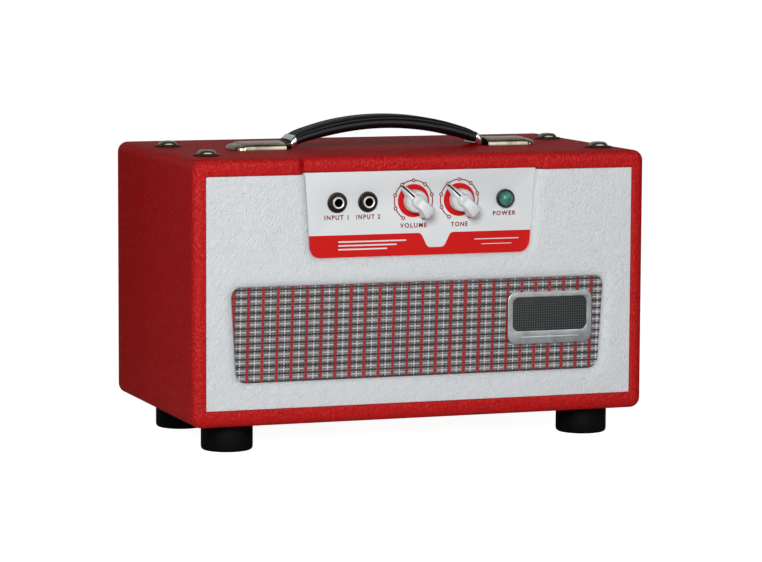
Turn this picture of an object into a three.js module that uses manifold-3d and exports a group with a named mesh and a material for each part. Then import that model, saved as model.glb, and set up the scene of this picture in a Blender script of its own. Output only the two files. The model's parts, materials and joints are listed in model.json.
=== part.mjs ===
// Guitar amplifier head: a covered wooden cabinet with a control panel, a grille, a carry handle,
// four feet, and a steel chassis with tubes and transformers hung from the top board.
// Units are millimetres. +Z is up and the front faces -Y. The origin is under the middle of the amp,
// at the level of the surface it stands on.

import * as THREE from 'three';
import { mergeVertices } from 'three/addons/utils/BufferGeometryUtils.js';
import { RoundedBoxGeometry } from 'three/addons/geometries/RoundedBoxGeometry.js';
import Module from 'manifold-3d';

const wasm = await Module();
wasm.setup();

// ---- driving dimensions ----------------------------------------------------------------------

// cabinet
const CAB_W = 381;
const CAB_D = 218;
const CAB_H = 210;
const FOOT_H = 22;
const FOOT_R = 20.6;
const FOOT_X = 152;
const FOOT_DEPTHS = [36, 162];
const EDGE_R = 8;
const SIDE_T = 11;
const TOP_T = 13.5;
const BASE_T = 13.3;
const CUTBACK = 6.5;
const CUTBACK_HALF = 97.3;
const CUTBACK_FLARE = 8;

// front baffle and what sits behind it
const BAFFLE_RECESS = 2;
const BAFFLE_T = 6;
const BAFFLE_SLOPE = 9;
const PANEL_TOP = 197.6;
const PANEL_BOTTOM = 130;
const PANEL_HALF_TOP = 97.6;
const PANEL_HALF_BOTTOM = 92.6;
const GRILLE_TOP = 109;
const GRILLE_BOTTOM = 33.6;
const GRILLE_HALF_TOP = 158;
const GRILLE_HALF_BOTTOM = 153.5;
const CORNER_R = 9.5;
const PLATE_T = 1.5;
const CLOTH_T = 0.8;
const GRILLE_BOARD_T = 6;

// controls, left to right along one line
const CONTROL_Z = 173.4;
const JACK_X = [-70, -44.5];
const VOLUME_X = -6;
const TONE_X = 32.8;
const PILOT_X = 71.7;
const KNOB_H = 16;
const KNOB_REST_DEG = -44;
const SHAFT_R = 3.175;
const BUSHING_R = 4.75;
const PLUG_R = 3.2;

// chassis
const CHASSIS_HALF = 172;
const CHASSIS_BOTTOM = 124;
const CHASSIS_TOP = 196.2;
const CHASSIS_REAR = 205;
const SHEET = 1.2;
const FLANGE = 20;
const SCREW_X = 167;
const SCREW_DEPTHS = [41, 148];

// handle
const HANDLE_DEPTH = 99;
const HANDLE_APEX = 231;
const HANDLE_DROP = 13;
const HANDLE_HALF = 76;
const STRAP_W = 27;
const STRAP_T = 11;
const STRAP_END_T = 9.6;
const GRIP_HALF = 56;
const LIFT = 12;
const END_SLIDE = 5.5;
const CAP_MOUTH = 87;
const CAP_END = 133;
const CAP_TAB = 8;
const CAP_W = 34;
const CAP_H = 6.4;

// rear
const REAR_PANEL_T = 6;
const REAR_PANEL_TOP = 123;
const VENT_HALF = 110;
const VENT_Z = [48, 92];
const INLET_X = 130;
const FUSE_X = 88;
const SWITCH_X = 56;
const SPEAKER_JACK_X = -40;
const REAR_ROW_Z = 160;
const ROCKER_TILT_DEG = 10;

// running gaps
const GAP = 0.3;
const STACK_GAP = 0.2;

// ---- derived places --------------------------------------------------------------------------

const PLATE_FRONT = BAFFLE_RECESS + BAFFLE_T + STACK_GAP;
const CHASSIS_FRONT = PLATE_FRONT + PLATE_T + STACK_GAP;
const KNOB_BASE = PLATE_FRONT - 1.6;
const KNOB_FRONT = KNOB_BASE - KNOB_H;
const FRONT_Y = -(CAB_D + KNOB_FRONT) / 2;
const INNER_HALF = CAB_W / 2 - SIDE_T;
const INNER_TOP = CAB_H - TOP_T;
const ROUND = 20;
const FINE = 24;
const COARSE = 12;
const TURN = Math.PI * 2;

// ---- solids ----------------------------------------------------------------------------------

// A closed geometry as a manifold solid, its faces turned outward.
function solid(geometry) {
  const bare = geometry.clone();
  bare.deleteAttribute('normal');
  bare.deleteAttribute('uv');
  const merged = mergeVertices(bare, 1e-4);
  const p = merged.attributes.position;
  const at = merged.index.array;
  const a = new THREE.Vector3();
  const b = new THREE.Vector3();
  const c = new THREE.Vector3();
  const kept = [];
  let volume = 0;
  for (let i = 0; i < at.length; i += 3) {
    if (at[i] === at[i + 1] || at[i + 1] === at[i + 2] || at[i] === at[i + 2]) continue;
    kept.push(at[i], at[i + 1], at[i + 2]);
    a.fromBufferAttribute(p, at[i]);
    b.fromBufferAttribute(p, at[i + 1]);
    c.fromBufferAttribute(p, at[i + 2]);
    volume += a.dot(b.cross(c));
  }
  if (volume < 0) kept.reverse();
  const vertProperties = new Float32Array(p.array);
  const triVerts = new Uint32Array(kept);
  return new wasm.Manifold(new wasm.Mesh({ numProp: 3, vertProperties, triVerts }));
}

// A manifold solid as a three.js geometry.
function geometryOf(body) {
  const mesh = body.getMesh();
  const geometry = new THREE.BufferGeometry();
  geometry.setAttribute('position', new THREE.BufferAttribute(mesh.vertProperties, 3));
  geometry.setIndex(new THREE.BufferAttribute(mesh.triVerts, 1));
  geometry.computeVertexNormals();
  return geometry;
}

function block(x0, x1, y0, y1, z0, z1) {
  const geometry = new THREE.BoxGeometry(x1 - x0, y1 - y0, z1 - z0);
  return solid(geometry.translate((x0 + x1) / 2, (y0 + y1) / 2, (z0 + z1) / 2));
}

// Block centred on (x, z), w and h being half its width and height, from depth y0 to y1.
function cell(x, z, w, h, y0, y1) {
  return block(x - w, x + w, y0, y1, z - h, z + h);
}

function softBlock(x0, x1, y0, y1, z0, z1, r, segments = 2) {
  const geometry = new RoundedBoxGeometry(x1 - x0, y1 - y0, z1 - z0, segments, r);
  return solid(geometry.translate((x0 + x1) / 2, (y0 + y1) / 2, (z0 + z1) / 2));
}

// Round bar along Y, from depth y0 to y1, centred on (x, z).
function rodY(r, x, z, y0, y1, segments = ROUND) {
  const geometry = new THREE.CylinderGeometry(r, r, y1 - y0, segments);
  return solid(geometry.translate(x, (y0 + y1) / 2, z));
}

// Round bar along Z, from height z0 to z1, centred on (x, y).
function rodZ(r, x, y, z0, z1, segments = ROUND) {
  const geometry = new THREE.CylinderGeometry(r, r, z1 - z0, segments).rotateX(Math.PI / 2);
  return solid(geometry.translate(x, y, (z0 + z1) / 2));
}

// Body turned about Z from [radius, height] pairs that start and end on the axis.
function turnedZ(profile, x, y, z, segments = ROUND) {
  const points = profile.map(([r, h]) => new THREE.Vector2(r, h));
  const geometry = new THREE.LatheGeometry(points, segments).rotateX(Math.PI / 2);
  return solid(geometry.translate(x, y, z));
}

// Body turned about Y from [radius, depth] pairs that start and end on the axis.
function turnedY(profile, x, z, segments = ROUND) {
  const points = profile.map(([r, y]) => new THREE.Vector2(r, y));
  const geometry = new THREE.LatheGeometry(points, segments);
  return solid(geometry.translate(x, 0, z));
}

// An outline drawn in X and Z, made solid from depth y0 back to y1.
function slab(shape, y0, y1, curveSegments = 6) {
  const options = { depth: y1 - y0, bevelEnabled: false, curveSegments };
  const geometry = new THREE.ExtrudeGeometry(shape, options).rotateX(Math.PI / 2);
  return solid(geometry.translate(0, y1, 0));
}

// An outline drawn in X and Y, made solid from height z0 up to z1.
function plank(shape, z0, z1, curveSegments = 6) {
  const options = { depth: z1 - z0, bevelEnabled: false, curveSegments };
  const geometry = new THREE.ExtrudeGeometry(shape, options);
  return solid(geometry.translate(0, 0, z0));
}

// A profile drawn in Y (as shape x) and Z (as shape y), made solid from x0 to x1.
function bar(shape, x0, x1, curveSegments = 6) {
  const options = { depth: x1 - x0, bevelEnabled: false, curveSegments };
  const geometry = new THREE.ExtrudeGeometry(shape, options);
  geometry.rotateX(Math.PI / 2).rotateZ(Math.PI / 2);
  return solid(geometry.translate(x0, 0, 0));
}

function polygon(points) {
  return new THREE.Shape(points.map(([x, y]) => new THREE.Vector2(x, y)));
}

function roundedRect(x0, x1, y0, y1, r) {
  const shape = new THREE.Shape();
  shape.moveTo(x0 + r, y0);
  shape.lineTo(x1 - r, y0);
  shape.absarc(x1 - r, y0 + r, r, -Math.PI / 2, 0);
  shape.lineTo(x1, y1 - r);
  shape.absarc(x1 - r, y1 - r, r, 0, Math.PI / 2);
  shape.lineTo(x0 + r, y1);
  shape.absarc(x0 + r, y1 - r, r, Math.PI / 2, Math.PI);
  shape.lineTo(x0, y0 + r);
  shape.absarc(x0 + r, y0 + r, r, Math.PI, Math.PI * 1.5);
  return shape;
}

function hexagon(acrossFlats, x, z) {
  const r = acrossFlats / Math.sqrt(3);
  const corners = [0, 1, 2, 3, 4, 5].map((i) => (i * TURN) / 6);
  return polygon(corners.map((t) => [x + r * Math.cos(t), z + r * Math.sin(t)]));
}

// Outline with upright symmetry whose sides lean outward towards the top, with rounded corners.
function leaningOutline(halfTop, halfBottom, bottom, top, rTop, rBottom) {
  const lean = (halfTop - halfBottom) / (top - bottom);
  const half = (z) => halfBottom + lean * (z - bottom);
  const shape = new THREE.Shape();
  shape.moveTo(-halfBottom + rBottom, bottom);
  shape.lineTo(halfBottom - rBottom, bottom);
  shape.quadraticCurveTo(halfBottom, bottom, half(bottom + rBottom), bottom + rBottom);
  shape.lineTo(half(top - rTop), top - rTop);
  shape.quadraticCurveTo(halfTop, top, halfTop - rTop, top);
  shape.lineTo(-halfTop + rTop, top);
  shape.quadraticCurveTo(-halfTop, top, -half(top - rTop), top - rTop);
  shape.lineTo(-half(bottom + rBottom), bottom + rBottom);
  shape.quadraticCurveTo(-halfBottom, bottom, -halfBottom + rBottom, bottom);
  return shape;
}

// ---- colours and finishes --------------------------------------------------------------------

const finishes = {
  redVinyl: [0xb01f22, 0.55, 0],
  whiteVinyl: [0xd8d9de, 0.6, 0],
  plate: [0xdfe3e4, 0.35, 0],
  cloth: [0x8c8a88, 0.9, 0],
  wood: [0xa98558, 0.8, 0],
  rubber: [0x141414, 0.7, 0],
  strap: [0x101010, 0.35, 0],
  nickel: [0x9a978c, 0.25, 1],
  chrome: [0xc9cccf, 0.12, 1],
  steel: [0x8f9296, 0.45, 1],
  black: [0x0c0c0d, 0.4, 0],
  knob: [0xdadddf, 0.35, 0],
  jewel: [0x0f5a3c, 0.1, 0],
  glass: [0xd4dcdc, 0.05, 0],
  copper: [0x7a5a2e, 0.5, 0.2],
  board: [0x2f5a34, 0.6, 0],
};

const root = new THREE.Group();
const amp = new THREE.Group();
amp.position.set(0, FRONT_Y, FOOT_H);
root.add(amp);

function add(name, body, finish) {
  const [color, roughness, metalness] = finishes[finish];
  const material = new THREE.MeshStandardMaterial({ color, roughness, metalness });
  const mesh = new THREE.Mesh(geometryOf(body), material);
  mesh.name = name;
  amp.add(mesh);
}

// ---- cabinet ---------------------------------------------------------------------------------

// Seen from above: the stretch of the top board's front edge that is set back over the panel.
function cutbackOutline() {
  const shape = new THREE.Shape();
  const outer = CUTBACK_HALF + CUTBACK_FLARE;
  const middle = CUTBACK_HALF + CUTBACK_FLARE / 2;
  shape.moveTo(-outer, -1);
  shape.lineTo(outer, -1);
  shape.lineTo(outer, 0);
  shape.bezierCurveTo(middle, 0, middle, CUTBACK, CUTBACK_HALF, CUTBACK);
  shape.lineTo(-CUTBACK_HALF, CUTBACK);
  shape.bezierCurveTo(-middle, CUTBACK, -middle, 0, -outer, 0);
  return shape;
}

const CLEAT = 12;
const REAR_PANEL_FRONT = CHASSIS_REAR;
const PANEL_SCREW_X = INNER_HALF - CLEAT / 2;
const PANEL_SCREW_Z = [30, 108];

function cabinetShell() {
  let shell = softBlock(-CAB_W / 2, CAB_W / 2, 0, CAB_D, 0, CAB_H, EDGE_R);
  shell = shell.subtract(block(-INNER_HALF, INNER_HALF, -1, CAB_D + 1, BASE_T, INNER_TOP));
  shell = shell.subtract(plank(cutbackOutline(), INNER_TOP - 1, CAB_H + 1));
  const rebateHalf = PANEL_HALF_TOP + 1.4;
  const rebateDepth = CHASSIS_FRONT + GAP;
  shell = shell.subtract(block(-rebateHalf, rebateHalf, -1, rebateDepth, INNER_TOP - 1, PANEL_TOP));
  for (const side of [-1, 1]) {
    const outer = side * (INNER_HALF + 1);
    const inner = side * (INNER_HALF - CLEAT);
    const [x0, x1] = [Math.min(outer, inner), Math.max(outer, inner)];
    const depth = REAR_PANEL_FRONT - STACK_GAP;
    shell = shell.add(block(x0, x1, depth - CLEAT, depth, BASE_T - 1, CHASSIS_BOTTOM - 4));
    for (const z of PANEL_SCREW_Z) {
      shell = shell.subtract(rodY(2.3, side * PANEL_SCREW_X, z, depth - CLEAT - 1, depth + 1, COARSE));
    }
    for (const y of SCREW_DEPTHS) {
      shell = shell.subtract(rodZ(3, side * SCREW_X, y, INNER_TOP - 1, CAB_H + 1, COARSE));
    }
  }
  add('cabinet_shell', shell, 'redVinyl');
}

function feet() {
  const profile = [
    [0, -8],
    [6, -8],
    [6, -FOOT_H],
    [FOOT_R - 1.6, -FOOT_H],
    [FOOT_R, -FOOT_H + 1.6],
    [FOOT_R, -STACK_GAP],
    [0, -STACK_GAP],
  ];
  const corners = { front: FOOT_DEPTHS[0], rear: FOOT_DEPTHS[1] };
  for (const [place, depth] of Object.entries(corners)) {
    add(`foot_${place}_left`, turnedZ(profile, -FOOT_X, depth, 0, FINE), 'rubber');
    add(`foot_${place}_right`, turnedZ(profile, FOOT_X, depth, 0, FINE), 'rubber');
  }
}

// Domed machine screw on a dished washer, with its shank down through the top board.
function chassisScrews() {
  const profile = [
    [0, CHASSIS_TOP - 12],
    [2.4, CHASSIS_TOP - 12],
    [2.4, CAB_H + STACK_GAP],
    [11, CAB_H + STACK_GAP],
    [11, CAB_H + 1.2],
    [7.8, CAB_H + 1.8],
    [6.9, CAB_H + 3.5],
    [4, CAB_H + 4.5],
    [0, CAB_H + 4.8],
  ];
  const places = { front: SCREW_DEPTHS[0], rear: SCREW_DEPTHS[1] };
  for (const [place, depth] of Object.entries(places)) {
    add(`chassis_screw_${place}_left`, turnedZ(profile, -SCREW_X, depth, 0, 16), 'nickel');
    add(`chassis_screw_${place}_right`, turnedZ(profile, SCREW_X, depth, 0, 16), 'nickel');
  }
}

// ---- front -----------------------------------------------------------------------------------

// Cuts a hole with walls that slope in from the front face to the outline.
function slopedHole(board, outline) {
  const options = {
    depth: 12,
    bevelEnabled: true,
    bevelThickness: BAFFLE_T - 1,
    bevelSize: BAFFLE_SLOPE,
    bevelSegments: 1,
    curveSegments: 5,
  };
  const funnel = new THREE.ExtrudeGeometry(outline, options).rotateX(Math.PI / 2);
  const through = slab(outline, -1, BAFFLE_RECESS + BAFFLE_T + 1, 5);
  return board.subtract(solid(funnel.translate(0, BAFFLE_RECESS, 0))).subtract(through);
}

function panelOutline() {
  const lean = (PANEL_HALF_TOP - PANEL_HALF_BOTTOM) / (PANEL_TOP - PANEL_BOTTOM);
  const above = 20;
  return leaningOutline(
    PANEL_HALF_TOP + lean * above,
    PANEL_HALF_BOTTOM,
    PANEL_BOTTOM,
    PANEL_TOP + above,
    1,
    CORNER_R,
  );
}

function grilleOutline() {
  return leaningOutline(
    GRILLE_HALF_TOP,
    GRILLE_HALF_BOTTOM,
    GRILLE_BOTTOM,
    GRILLE_TOP,
    CORNER_R,
    CORNER_R,
  );
}

function frontBaffle() {
  const half = INNER_HALF - STACK_GAP;
  const rear = BAFFLE_RECESS + BAFFLE_T;
  let board = block(-half, half, BAFFLE_RECESS, rear, BASE_T + STACK_GAP, INNER_TOP - STACK_GAP);
  board = slopedHole(board, panelOutline());
  board = slopedHole(board, grilleOutline());
  add('front_baffle', board, 'whiteVinyl');
}

function grille() {
  const clothFront = PLATE_FRONT;
  const boardFront = clothFront + CLOTH_T + STACK_GAP;
  const border = 6;
  const x = GRILLE_HALF_TOP + border;
  const sheet = roundedRect(-x, x, GRILLE_BOTTOM - border, GRILLE_TOP + border, 3);
  add('grille_cloth', slab(sheet, clothFront, clothFront + CLOTH_T, 2), 'cloth');
  const openHalf = GRILLE_HALF_BOTTOM - 1;
  let board = block(-x, x, boardFront, boardFront + GRILLE_BOARD_T, BASE_T + 1, GRILLE_TOP + border);
  const hole = roundedRect(-openHalf, openHalf, GRILLE_BOTTOM + 2, GRILLE_TOP - 2, 8);
  board = board.subtract(slab(hole, boardFront - 1, boardFront + GRILLE_BOARD_T + 1, 3));
  add('grille_board', board, 'wood');
}

// Plain framed nameplate standing on the cloth.
function badge() {
  const outer = roundedRect(74.5, 147.5, 55.5, 97.5, 7);
  const field = roundedRect(79, 143, 66, 93, 5);
  const back = PLATE_FRONT - STACK_GAP;
  const plate = slab(outer, back - 2.6, back, 4);
  add('badge', plate.subtract(slab(field, back - 4, back - 1.6, 4)), 'nickel');
}

function faceplate() {
  const half = PANEL_HALF_TOP + 1;
  const rear = PLATE_FRONT + PLATE_T;
  let plate = block(-half, half, PLATE_FRONT, rear, PANEL_BOTTOM - 4, PANEL_TOP - STACK_GAP);
  plate = drillControls(plate, PLATE_FRONT - 1, rear + 1);
  add('faceplate', plate, 'plate');
}

const PILOT_BARREL_R = 6.7;

// Holes for both jacks, both pots and the pilot lamp.
function drillControls(sheet, y0, y1) {
  let drilled = sheet;
  for (const x of [...JACK_X, VOLUME_X, TONE_X]) {
    drilled = drilled.subtract(rodY(BUSHING_R + GAP, x, CONTROL_Z, y0, y1));
  }
  return drilled.subtract(rodY(PILOT_BARREL_R + GAP, PILOT_X, CONTROL_Z, y0, y1));
}

// ---- controls --------------------------------------------------------------------------------

function inputJacks() {
  JACK_X.forEach((x, i) => {
    const mouth = PLATE_FRONT - 4.4;
    const bodyFront = CHASSIS_FRONT + SHEET + STACK_GAP;
    const rear = bodyFront + 22;
    const bushing = rodY(BUSHING_R, x, CONTROL_Z, mouth, bodyFront + 1);
    const body = softBlock(x - 9, x + 9, bodyFront, rear, CONTROL_Z - 9, CONTROL_Z + 9, 1.5, 1);
    const bore = rodY(PLUG_R, x, CONTROL_Z, mouth - 1, rear + 1);
    add(`input_jack_${i + 1}`, bushing.add(body).subtract(bore), 'black');
    const washerRear = PLATE_FRONT - STACK_GAP;
    const washer = rodY(8.2, x, CONTROL_Z, washerRear - 0.8, washerRear);
    const hole = rodY(BUSHING_R + GAP, x, CONTROL_Z, mouth - 1, PLATE_FRONT + 1);
    add(`input_jack_washer_${i + 1}`, washer.subtract(hole), 'black');
    const nutRear = washerRear - 0.8 - STACK_GAP;
    const nut = slab(hexagon(12.7, x, CONTROL_Z), nutRear - 2.4, nutRear);
    add(`input_jack_nut_${i + 1}`, nut.subtract(hole), 'nickel');
  });
}

// Body and threaded bushing of a rotary control, bored for its shaft.
function pot(name, x) {
  const bodyFront = CHASSIS_FRONT + SHEET + STACK_GAP;
  const bushingFront = PLATE_FRONT - 1.2;
  const body = rodY(12, x, CONTROL_Z, bodyFront, bodyFront + 10);
  const lugs = block(x - 8, x + 8, bodyFront + 4, bodyFront + 6, CONTROL_Z - 19, CONTROL_Z - 8);
  const bushing = rodY(BUSHING_R, x, CONTROL_Z, bushingFront, bodyFront + 1);
  const bore = rodY(SHAFT_R + GAP, x, CONTROL_Z, bushingFront - 1, bodyFront + 8);
  add(name, body.add(lugs).add(bushing).subtract(bore), 'steel');
}

// Pointer knob: a round skirt, a hub on it and a long fin, thin at the nose and tall at the tail.
// Drawn with its nose up, standing from depth 0 forward to -KNOB_H, then turned to its rest place.
function pointerKnob(name, x) {
  const skirt = turnedY([
    [0, -9],
    [7.4, -9],
    [8.9, -7.6],
    [9.2, 0],
    [0, 0],
  ], 0, 0, FINE);
  const plan = new THREE.Shape();
  plan.moveTo(-0.9, 17);
  plan.lineTo(0.9, 17);
  plan.lineTo(4.4, 2);
  plan.quadraticCurveTo(4.2, -6, 5.2, -12.6);
  plan.quadraticCurveTo(0, -16.8, -5.2, -12.6);
  plan.quadraticCurveTo(-4.2, -6, -4.4, 2);
  const side = new THREE.Shape();
  side.moveTo(-2.5, 17.2);
  side.lineTo(-5.6, 17.2);
  side.quadraticCurveTo(-10, 8, -12, 2);
  side.quadraticCurveTo(-14.6, -2.5, -KNOB_H, -7);
  side.lineTo(-KNOB_H + 0.6, -12.5);
  side.lineTo(-KNOB_H + 3, -15.2);
  side.lineTo(-2.5, -14.3);
  const fin = slab(plan, -KNOB_H, -2, 5).intersect(bar(side, -8, 8, 4));
  const hub = rodY(5.3, 0, 0, -12.4, -8);
  const bore = rodY(SHAFT_R + GAP, 0, 0, -9, 1);
  const turned = skirt.add(fin).add(hub).subtract(bore);
  const geometry = geometryOf(turned).rotateY((KNOB_REST_DEG * Math.PI) / 180);
  add(name, solid(geometry.translate(x, KNOB_BASE, CONTROL_Z)), 'knob');
}

function controlShaft(name, x) {
  const rear = CHASSIS_FRONT + SHEET + STACK_GAP + 8 - GAP;
  add(name, rodY(SHAFT_R, x, CONTROL_Z, KNOB_BASE - 9 + GAP, rear), 'steel');
}

// Jewelled lamp: a bezelled barrel, the faceted lens in its mouth and the bulb behind it.
function pilotLamp() {
  const [x, z] = [PILOT_X, CONTROL_Z];
  const bezelRear = PLATE_FRONT - STACK_GAP;
  const mouth = bezelRear - 3.4;
  const bezel = rodY(7.4, x, z, mouth, bezelRear);
  const barrel = rodY(PILOT_BARREL_R, x, z, bezelRear - 1, CHASSIS_FRONT + 22);
  const lensSeat = rodY(6.1, x, z, mouth - 1, bezelRear - 1.4);
  const bore = rodY(5.4, x, z, mouth, CHASSIS_FRONT + 23);
  add('pilot_lamp_holder', bezel.add(barrel).subtract(lensSeat).subtract(bore), 'black');
  const seat = bezelRear - 1.4 - GAP;
  const lens = turnedY([
    [0, seat - 6],
    [2.6, seat - 5.6],
    [4.6, seat - 4.2],
    [5.8, seat - 2.2],
    [5.8, seat],
    [5, seat],
    [5, seat + 4],
    [0, seat + 4],
  ], x, z, COARSE);
  add('pilot_lens', lens, 'jewel');
  const bulb = turnedY([
    [0, seat + 6],
    [3, seat + 7],
    [4.2, seat + 10],
    [4.2, seat + 22],
    [0, seat + 22],
  ], x, z, COARSE);
  add('pilot_bulb', bulb, 'glass');
}

// ---- handle ----------------------------------------------------------------------------------

const strapCentre = (x) => HANDLE_APEX - HANDLE_DROP * (x / HANDLE_HALF) ** 2;
const strapSlope = (x) => (-2 * HANDLE_DROP * x) / HANDLE_HALF ** 2;

function strapThickness(x) {
  return STRAP_T - (STRAP_T - STRAP_END_T) * (x / HANDLE_HALF) ** 4;
}

// One point of the strap's edge: side 1 is the top, side -1 the underside, grown by extra.
function strapPoint(x, side, extra = 0) {
  const t = strapThickness(x) / 2 + extra;
  const length = Math.hypot(1, strapSlope(x));
  return [x - (side * t * strapSlope(x)) / length, strapCentre(x) + (side * t) / length];
}

// The strap's long section between x0 and x1, as a shape in X and Z.
function strapSection(x0, x1, steps, extra = 0) {
  const stations = [];
  for (let i = 0; i <= steps; i += 1) stations.push(x0 + ((x1 - x0) * i) / steps);
  const top = stations.map((x) => strapPoint(x, 1, extra));
  const under = stations.map((x) => strapPoint(x, -1, extra));
  return polygon([...under, ...top.reverse()]);
}

// Keeps the part of a solid on one side of the parting face between grip and strap end.
// The face runs along the way the end slides when the grip lifts, so the two never meet.
function partingWedge(side, inner) {
  const reach = 40;
  const lean = END_SLIDE / LIFT;
  const x = side * (GRIP_HALF + (inner ? -GAP / 2 : GAP / 2));
  const z = strapCentre(GRIP_HALF);
  const low = [x - side * lean * reach, z - reach];
  const high = [x + side * lean * reach, z + reach];
  const far = inner ? -side * 200 : side * 200;
  return polygon([low, high, [far, z + reach], [far, z - reach]]);
}

function wedgeSolid(shape) {
  return slab(shape, HANDLE_DEPTH - 40, HANDLE_DEPTH + 40);
}

// The stretch from a to b of the right half, or its mirror image on the left, low end first.
const span = (side, a, b) => (side > 0 ? [a, b] : [-b, -a]);

const FERRULE_IN = 77.4;
const FERRULE_OUT = 82.4;
const TONGUE_Z = [CAB_H + 1.4, CAB_H + 4.2];
const TONGUE_W = 20;
const TONGUE_END = 118;
const STUD_X = 108;
const SLOT = [105, 116.2];

function handle() {
  const y0 = HANDLE_DEPTH - STRAP_W / 2;
  const y1 = HANDLE_DEPTH + STRAP_W / 2;
  let grip = slab(strapSection(-FERRULE_OUT, FERRULE_OUT, 20), y0, y1);
  grip = grip.intersect(wedgeSolid(partingWedge(-1, true))).intersect(wedgeSolid(partingWedge(1, true)));
  add('handle_grip', grip, 'strap');
  for (const [place, side] of [['left', -1], ['right', 1]]) {
    strapEnd(place, side, y0, y1);
    ferrule(place, side);
    handleCap(place, side);
  }
}

function strapEnd(place, side, y0, y1) {
  const narrow = GAP + 0.2;
  const first = slab(strapSection(side * 40, side * FERRULE_IN, 8), y0, y1);
  const neckSection = strapSection(side * (FERRULE_IN - 1), side * FERRULE_OUT, 2, -narrow);
  const neck = slab(neckSection, y0 + narrow, y1 - narrow);
  const [zLow, zHigh] = TONGUE_Z;
  const tongueShape = polygon([
    [side * (FERRULE_OUT - 2), strapCentre(FERRULE_OUT) - 3.4],
    [side * (CAP_MOUTH - 1), zLow],
    [side * TONGUE_END, zLow],
    [side * TONGUE_END, zHigh],
    [side * (CAP_MOUTH + 1), zHigh],
    [side * (FERRULE_OUT - 2), strapCentre(FERRULE_OUT) + 3],
  ]);
  const half = TONGUE_W / 2;
  const tongue = slab(tongueShape, HANDLE_DEPTH - half, HANDLE_DEPTH + half);
  const slot = block(...span(side, ...SLOT), HANDLE_DEPTH - 3, HANDLE_DEPTH + 3, zLow - 2, zHigh + 2);
  const whole = first.intersect(wedgeSolid(partingWedge(side, false))).add(neck).add(tongue).subtract(slot);
  add(`handle_end_${place}`, whole, 'strap');
}

// Metal band round the strap's neck.
function ferrule(place, side) {
  const wall = 1.1;
  const inset = 0.2;
  const [a, b] = [side * (FERRULE_IN + GAP), side * (FERRULE_OUT - GAP)];
  const half = STRAP_W / 2;
  const band = strapSection(a, b, 2, wall - inset);
  const inside = strapSection(side * (FERRULE_IN - 3), side * (FERRULE_OUT + 3), 2, -inset);
  const outer = slab(band, HANDLE_DEPTH - half - wall, HANDLE_DEPTH + half + wall);
  const hollow = slab(inside, HANDLE_DEPTH - half + inset, HANDLE_DEPTH + half - inset);
  add(`handle_ferrule_${place}`, outer.subtract(hollow), 'chrome');
}

// Pressed cap over the strap's tongue: a dome open at the mouth and below, with a lower rounded
// step at its far end and a stud through the tongue's slot.
function handleCap(place, side) {
  const half = CAP_W / 2;
  const low = CAB_H + STACK_GAP;
  const top = CAB_H + CAP_H;
  const domeEnd = CAP_END - CAP_TAB;
  const section = new THREE.Shape();
  section.moveTo(HANDLE_DEPTH - half, low);
  section.quadraticCurveTo(HANDLE_DEPTH - half + 2, top - 1.6, HANDLE_DEPTH - half + 7, top - 0.7);
  section.quadraticCurveTo(HANDLE_DEPTH, top + 0.7, HANDLE_DEPTH + half - 7, top - 0.7);
  section.quadraticCurveTo(HANDLE_DEPTH + half - 2, top - 1.6, HANDLE_DEPTH + half, low);
  let cap = bar(section, ...span(side, CAP_MOUTH, domeEnd));
  const bowHalf = half - 2.5;
  const bowHeight = CAP_H - 2;
  const bow = new THREE.CylinderGeometry(bowHalf, bowHalf, bowHeight, ROUND);
  bow.scale(CAP_TAB / bowHalf, 1, 1).rotateX(Math.PI / 2);
  cap = cap.add(solid(bow.translate(side * domeEnd, HANDLE_DEPTH, low + bowHeight / 2)));
  const inner = TONGUE_W / 2 + 1.6;
  const roof = TONGUE_Z[1] + 0.7;
  const [y0, y1] = [HANDLE_DEPTH - inner, HANDLE_DEPTH + inner];
  const hollow = block(...span(side, CAP_MOUTH - 1, TONGUE_END + 2), y0, y1, low - 1, roof);
  const stud = rodZ(2.2, side * STUD_X, HANDLE_DEPTH, low, roof + 0.5, COARSE);
  cap = cap.subtract(hollow).add(stud);
  add(`handle_cap_${place}`, cap, 'nickel');
}

// ---- chassis and what it holds ---------------------------------------------------------------

const TUBE_DEPTH = 150;
const TUBES = [
  { name: 'power_tube', socket: 'power_tube_socket', x: 62, r: 11, length: 68 },
  { name: 'preamp_tube_1', socket: 'preamp_tube_socket_1', x: -92, r: 10.5, length: 48 },
  { name: 'preamp_tube_2', socket: 'preamp_tube_socket_2', x: -52, r: 10.5, length: 48 },
];
const SOCKET_R = 12;

const INLET_HALF = [14, 10.4];
const SWITCH_HALF = [6.8, 11];
const FUSE_R = 6.4;

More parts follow.
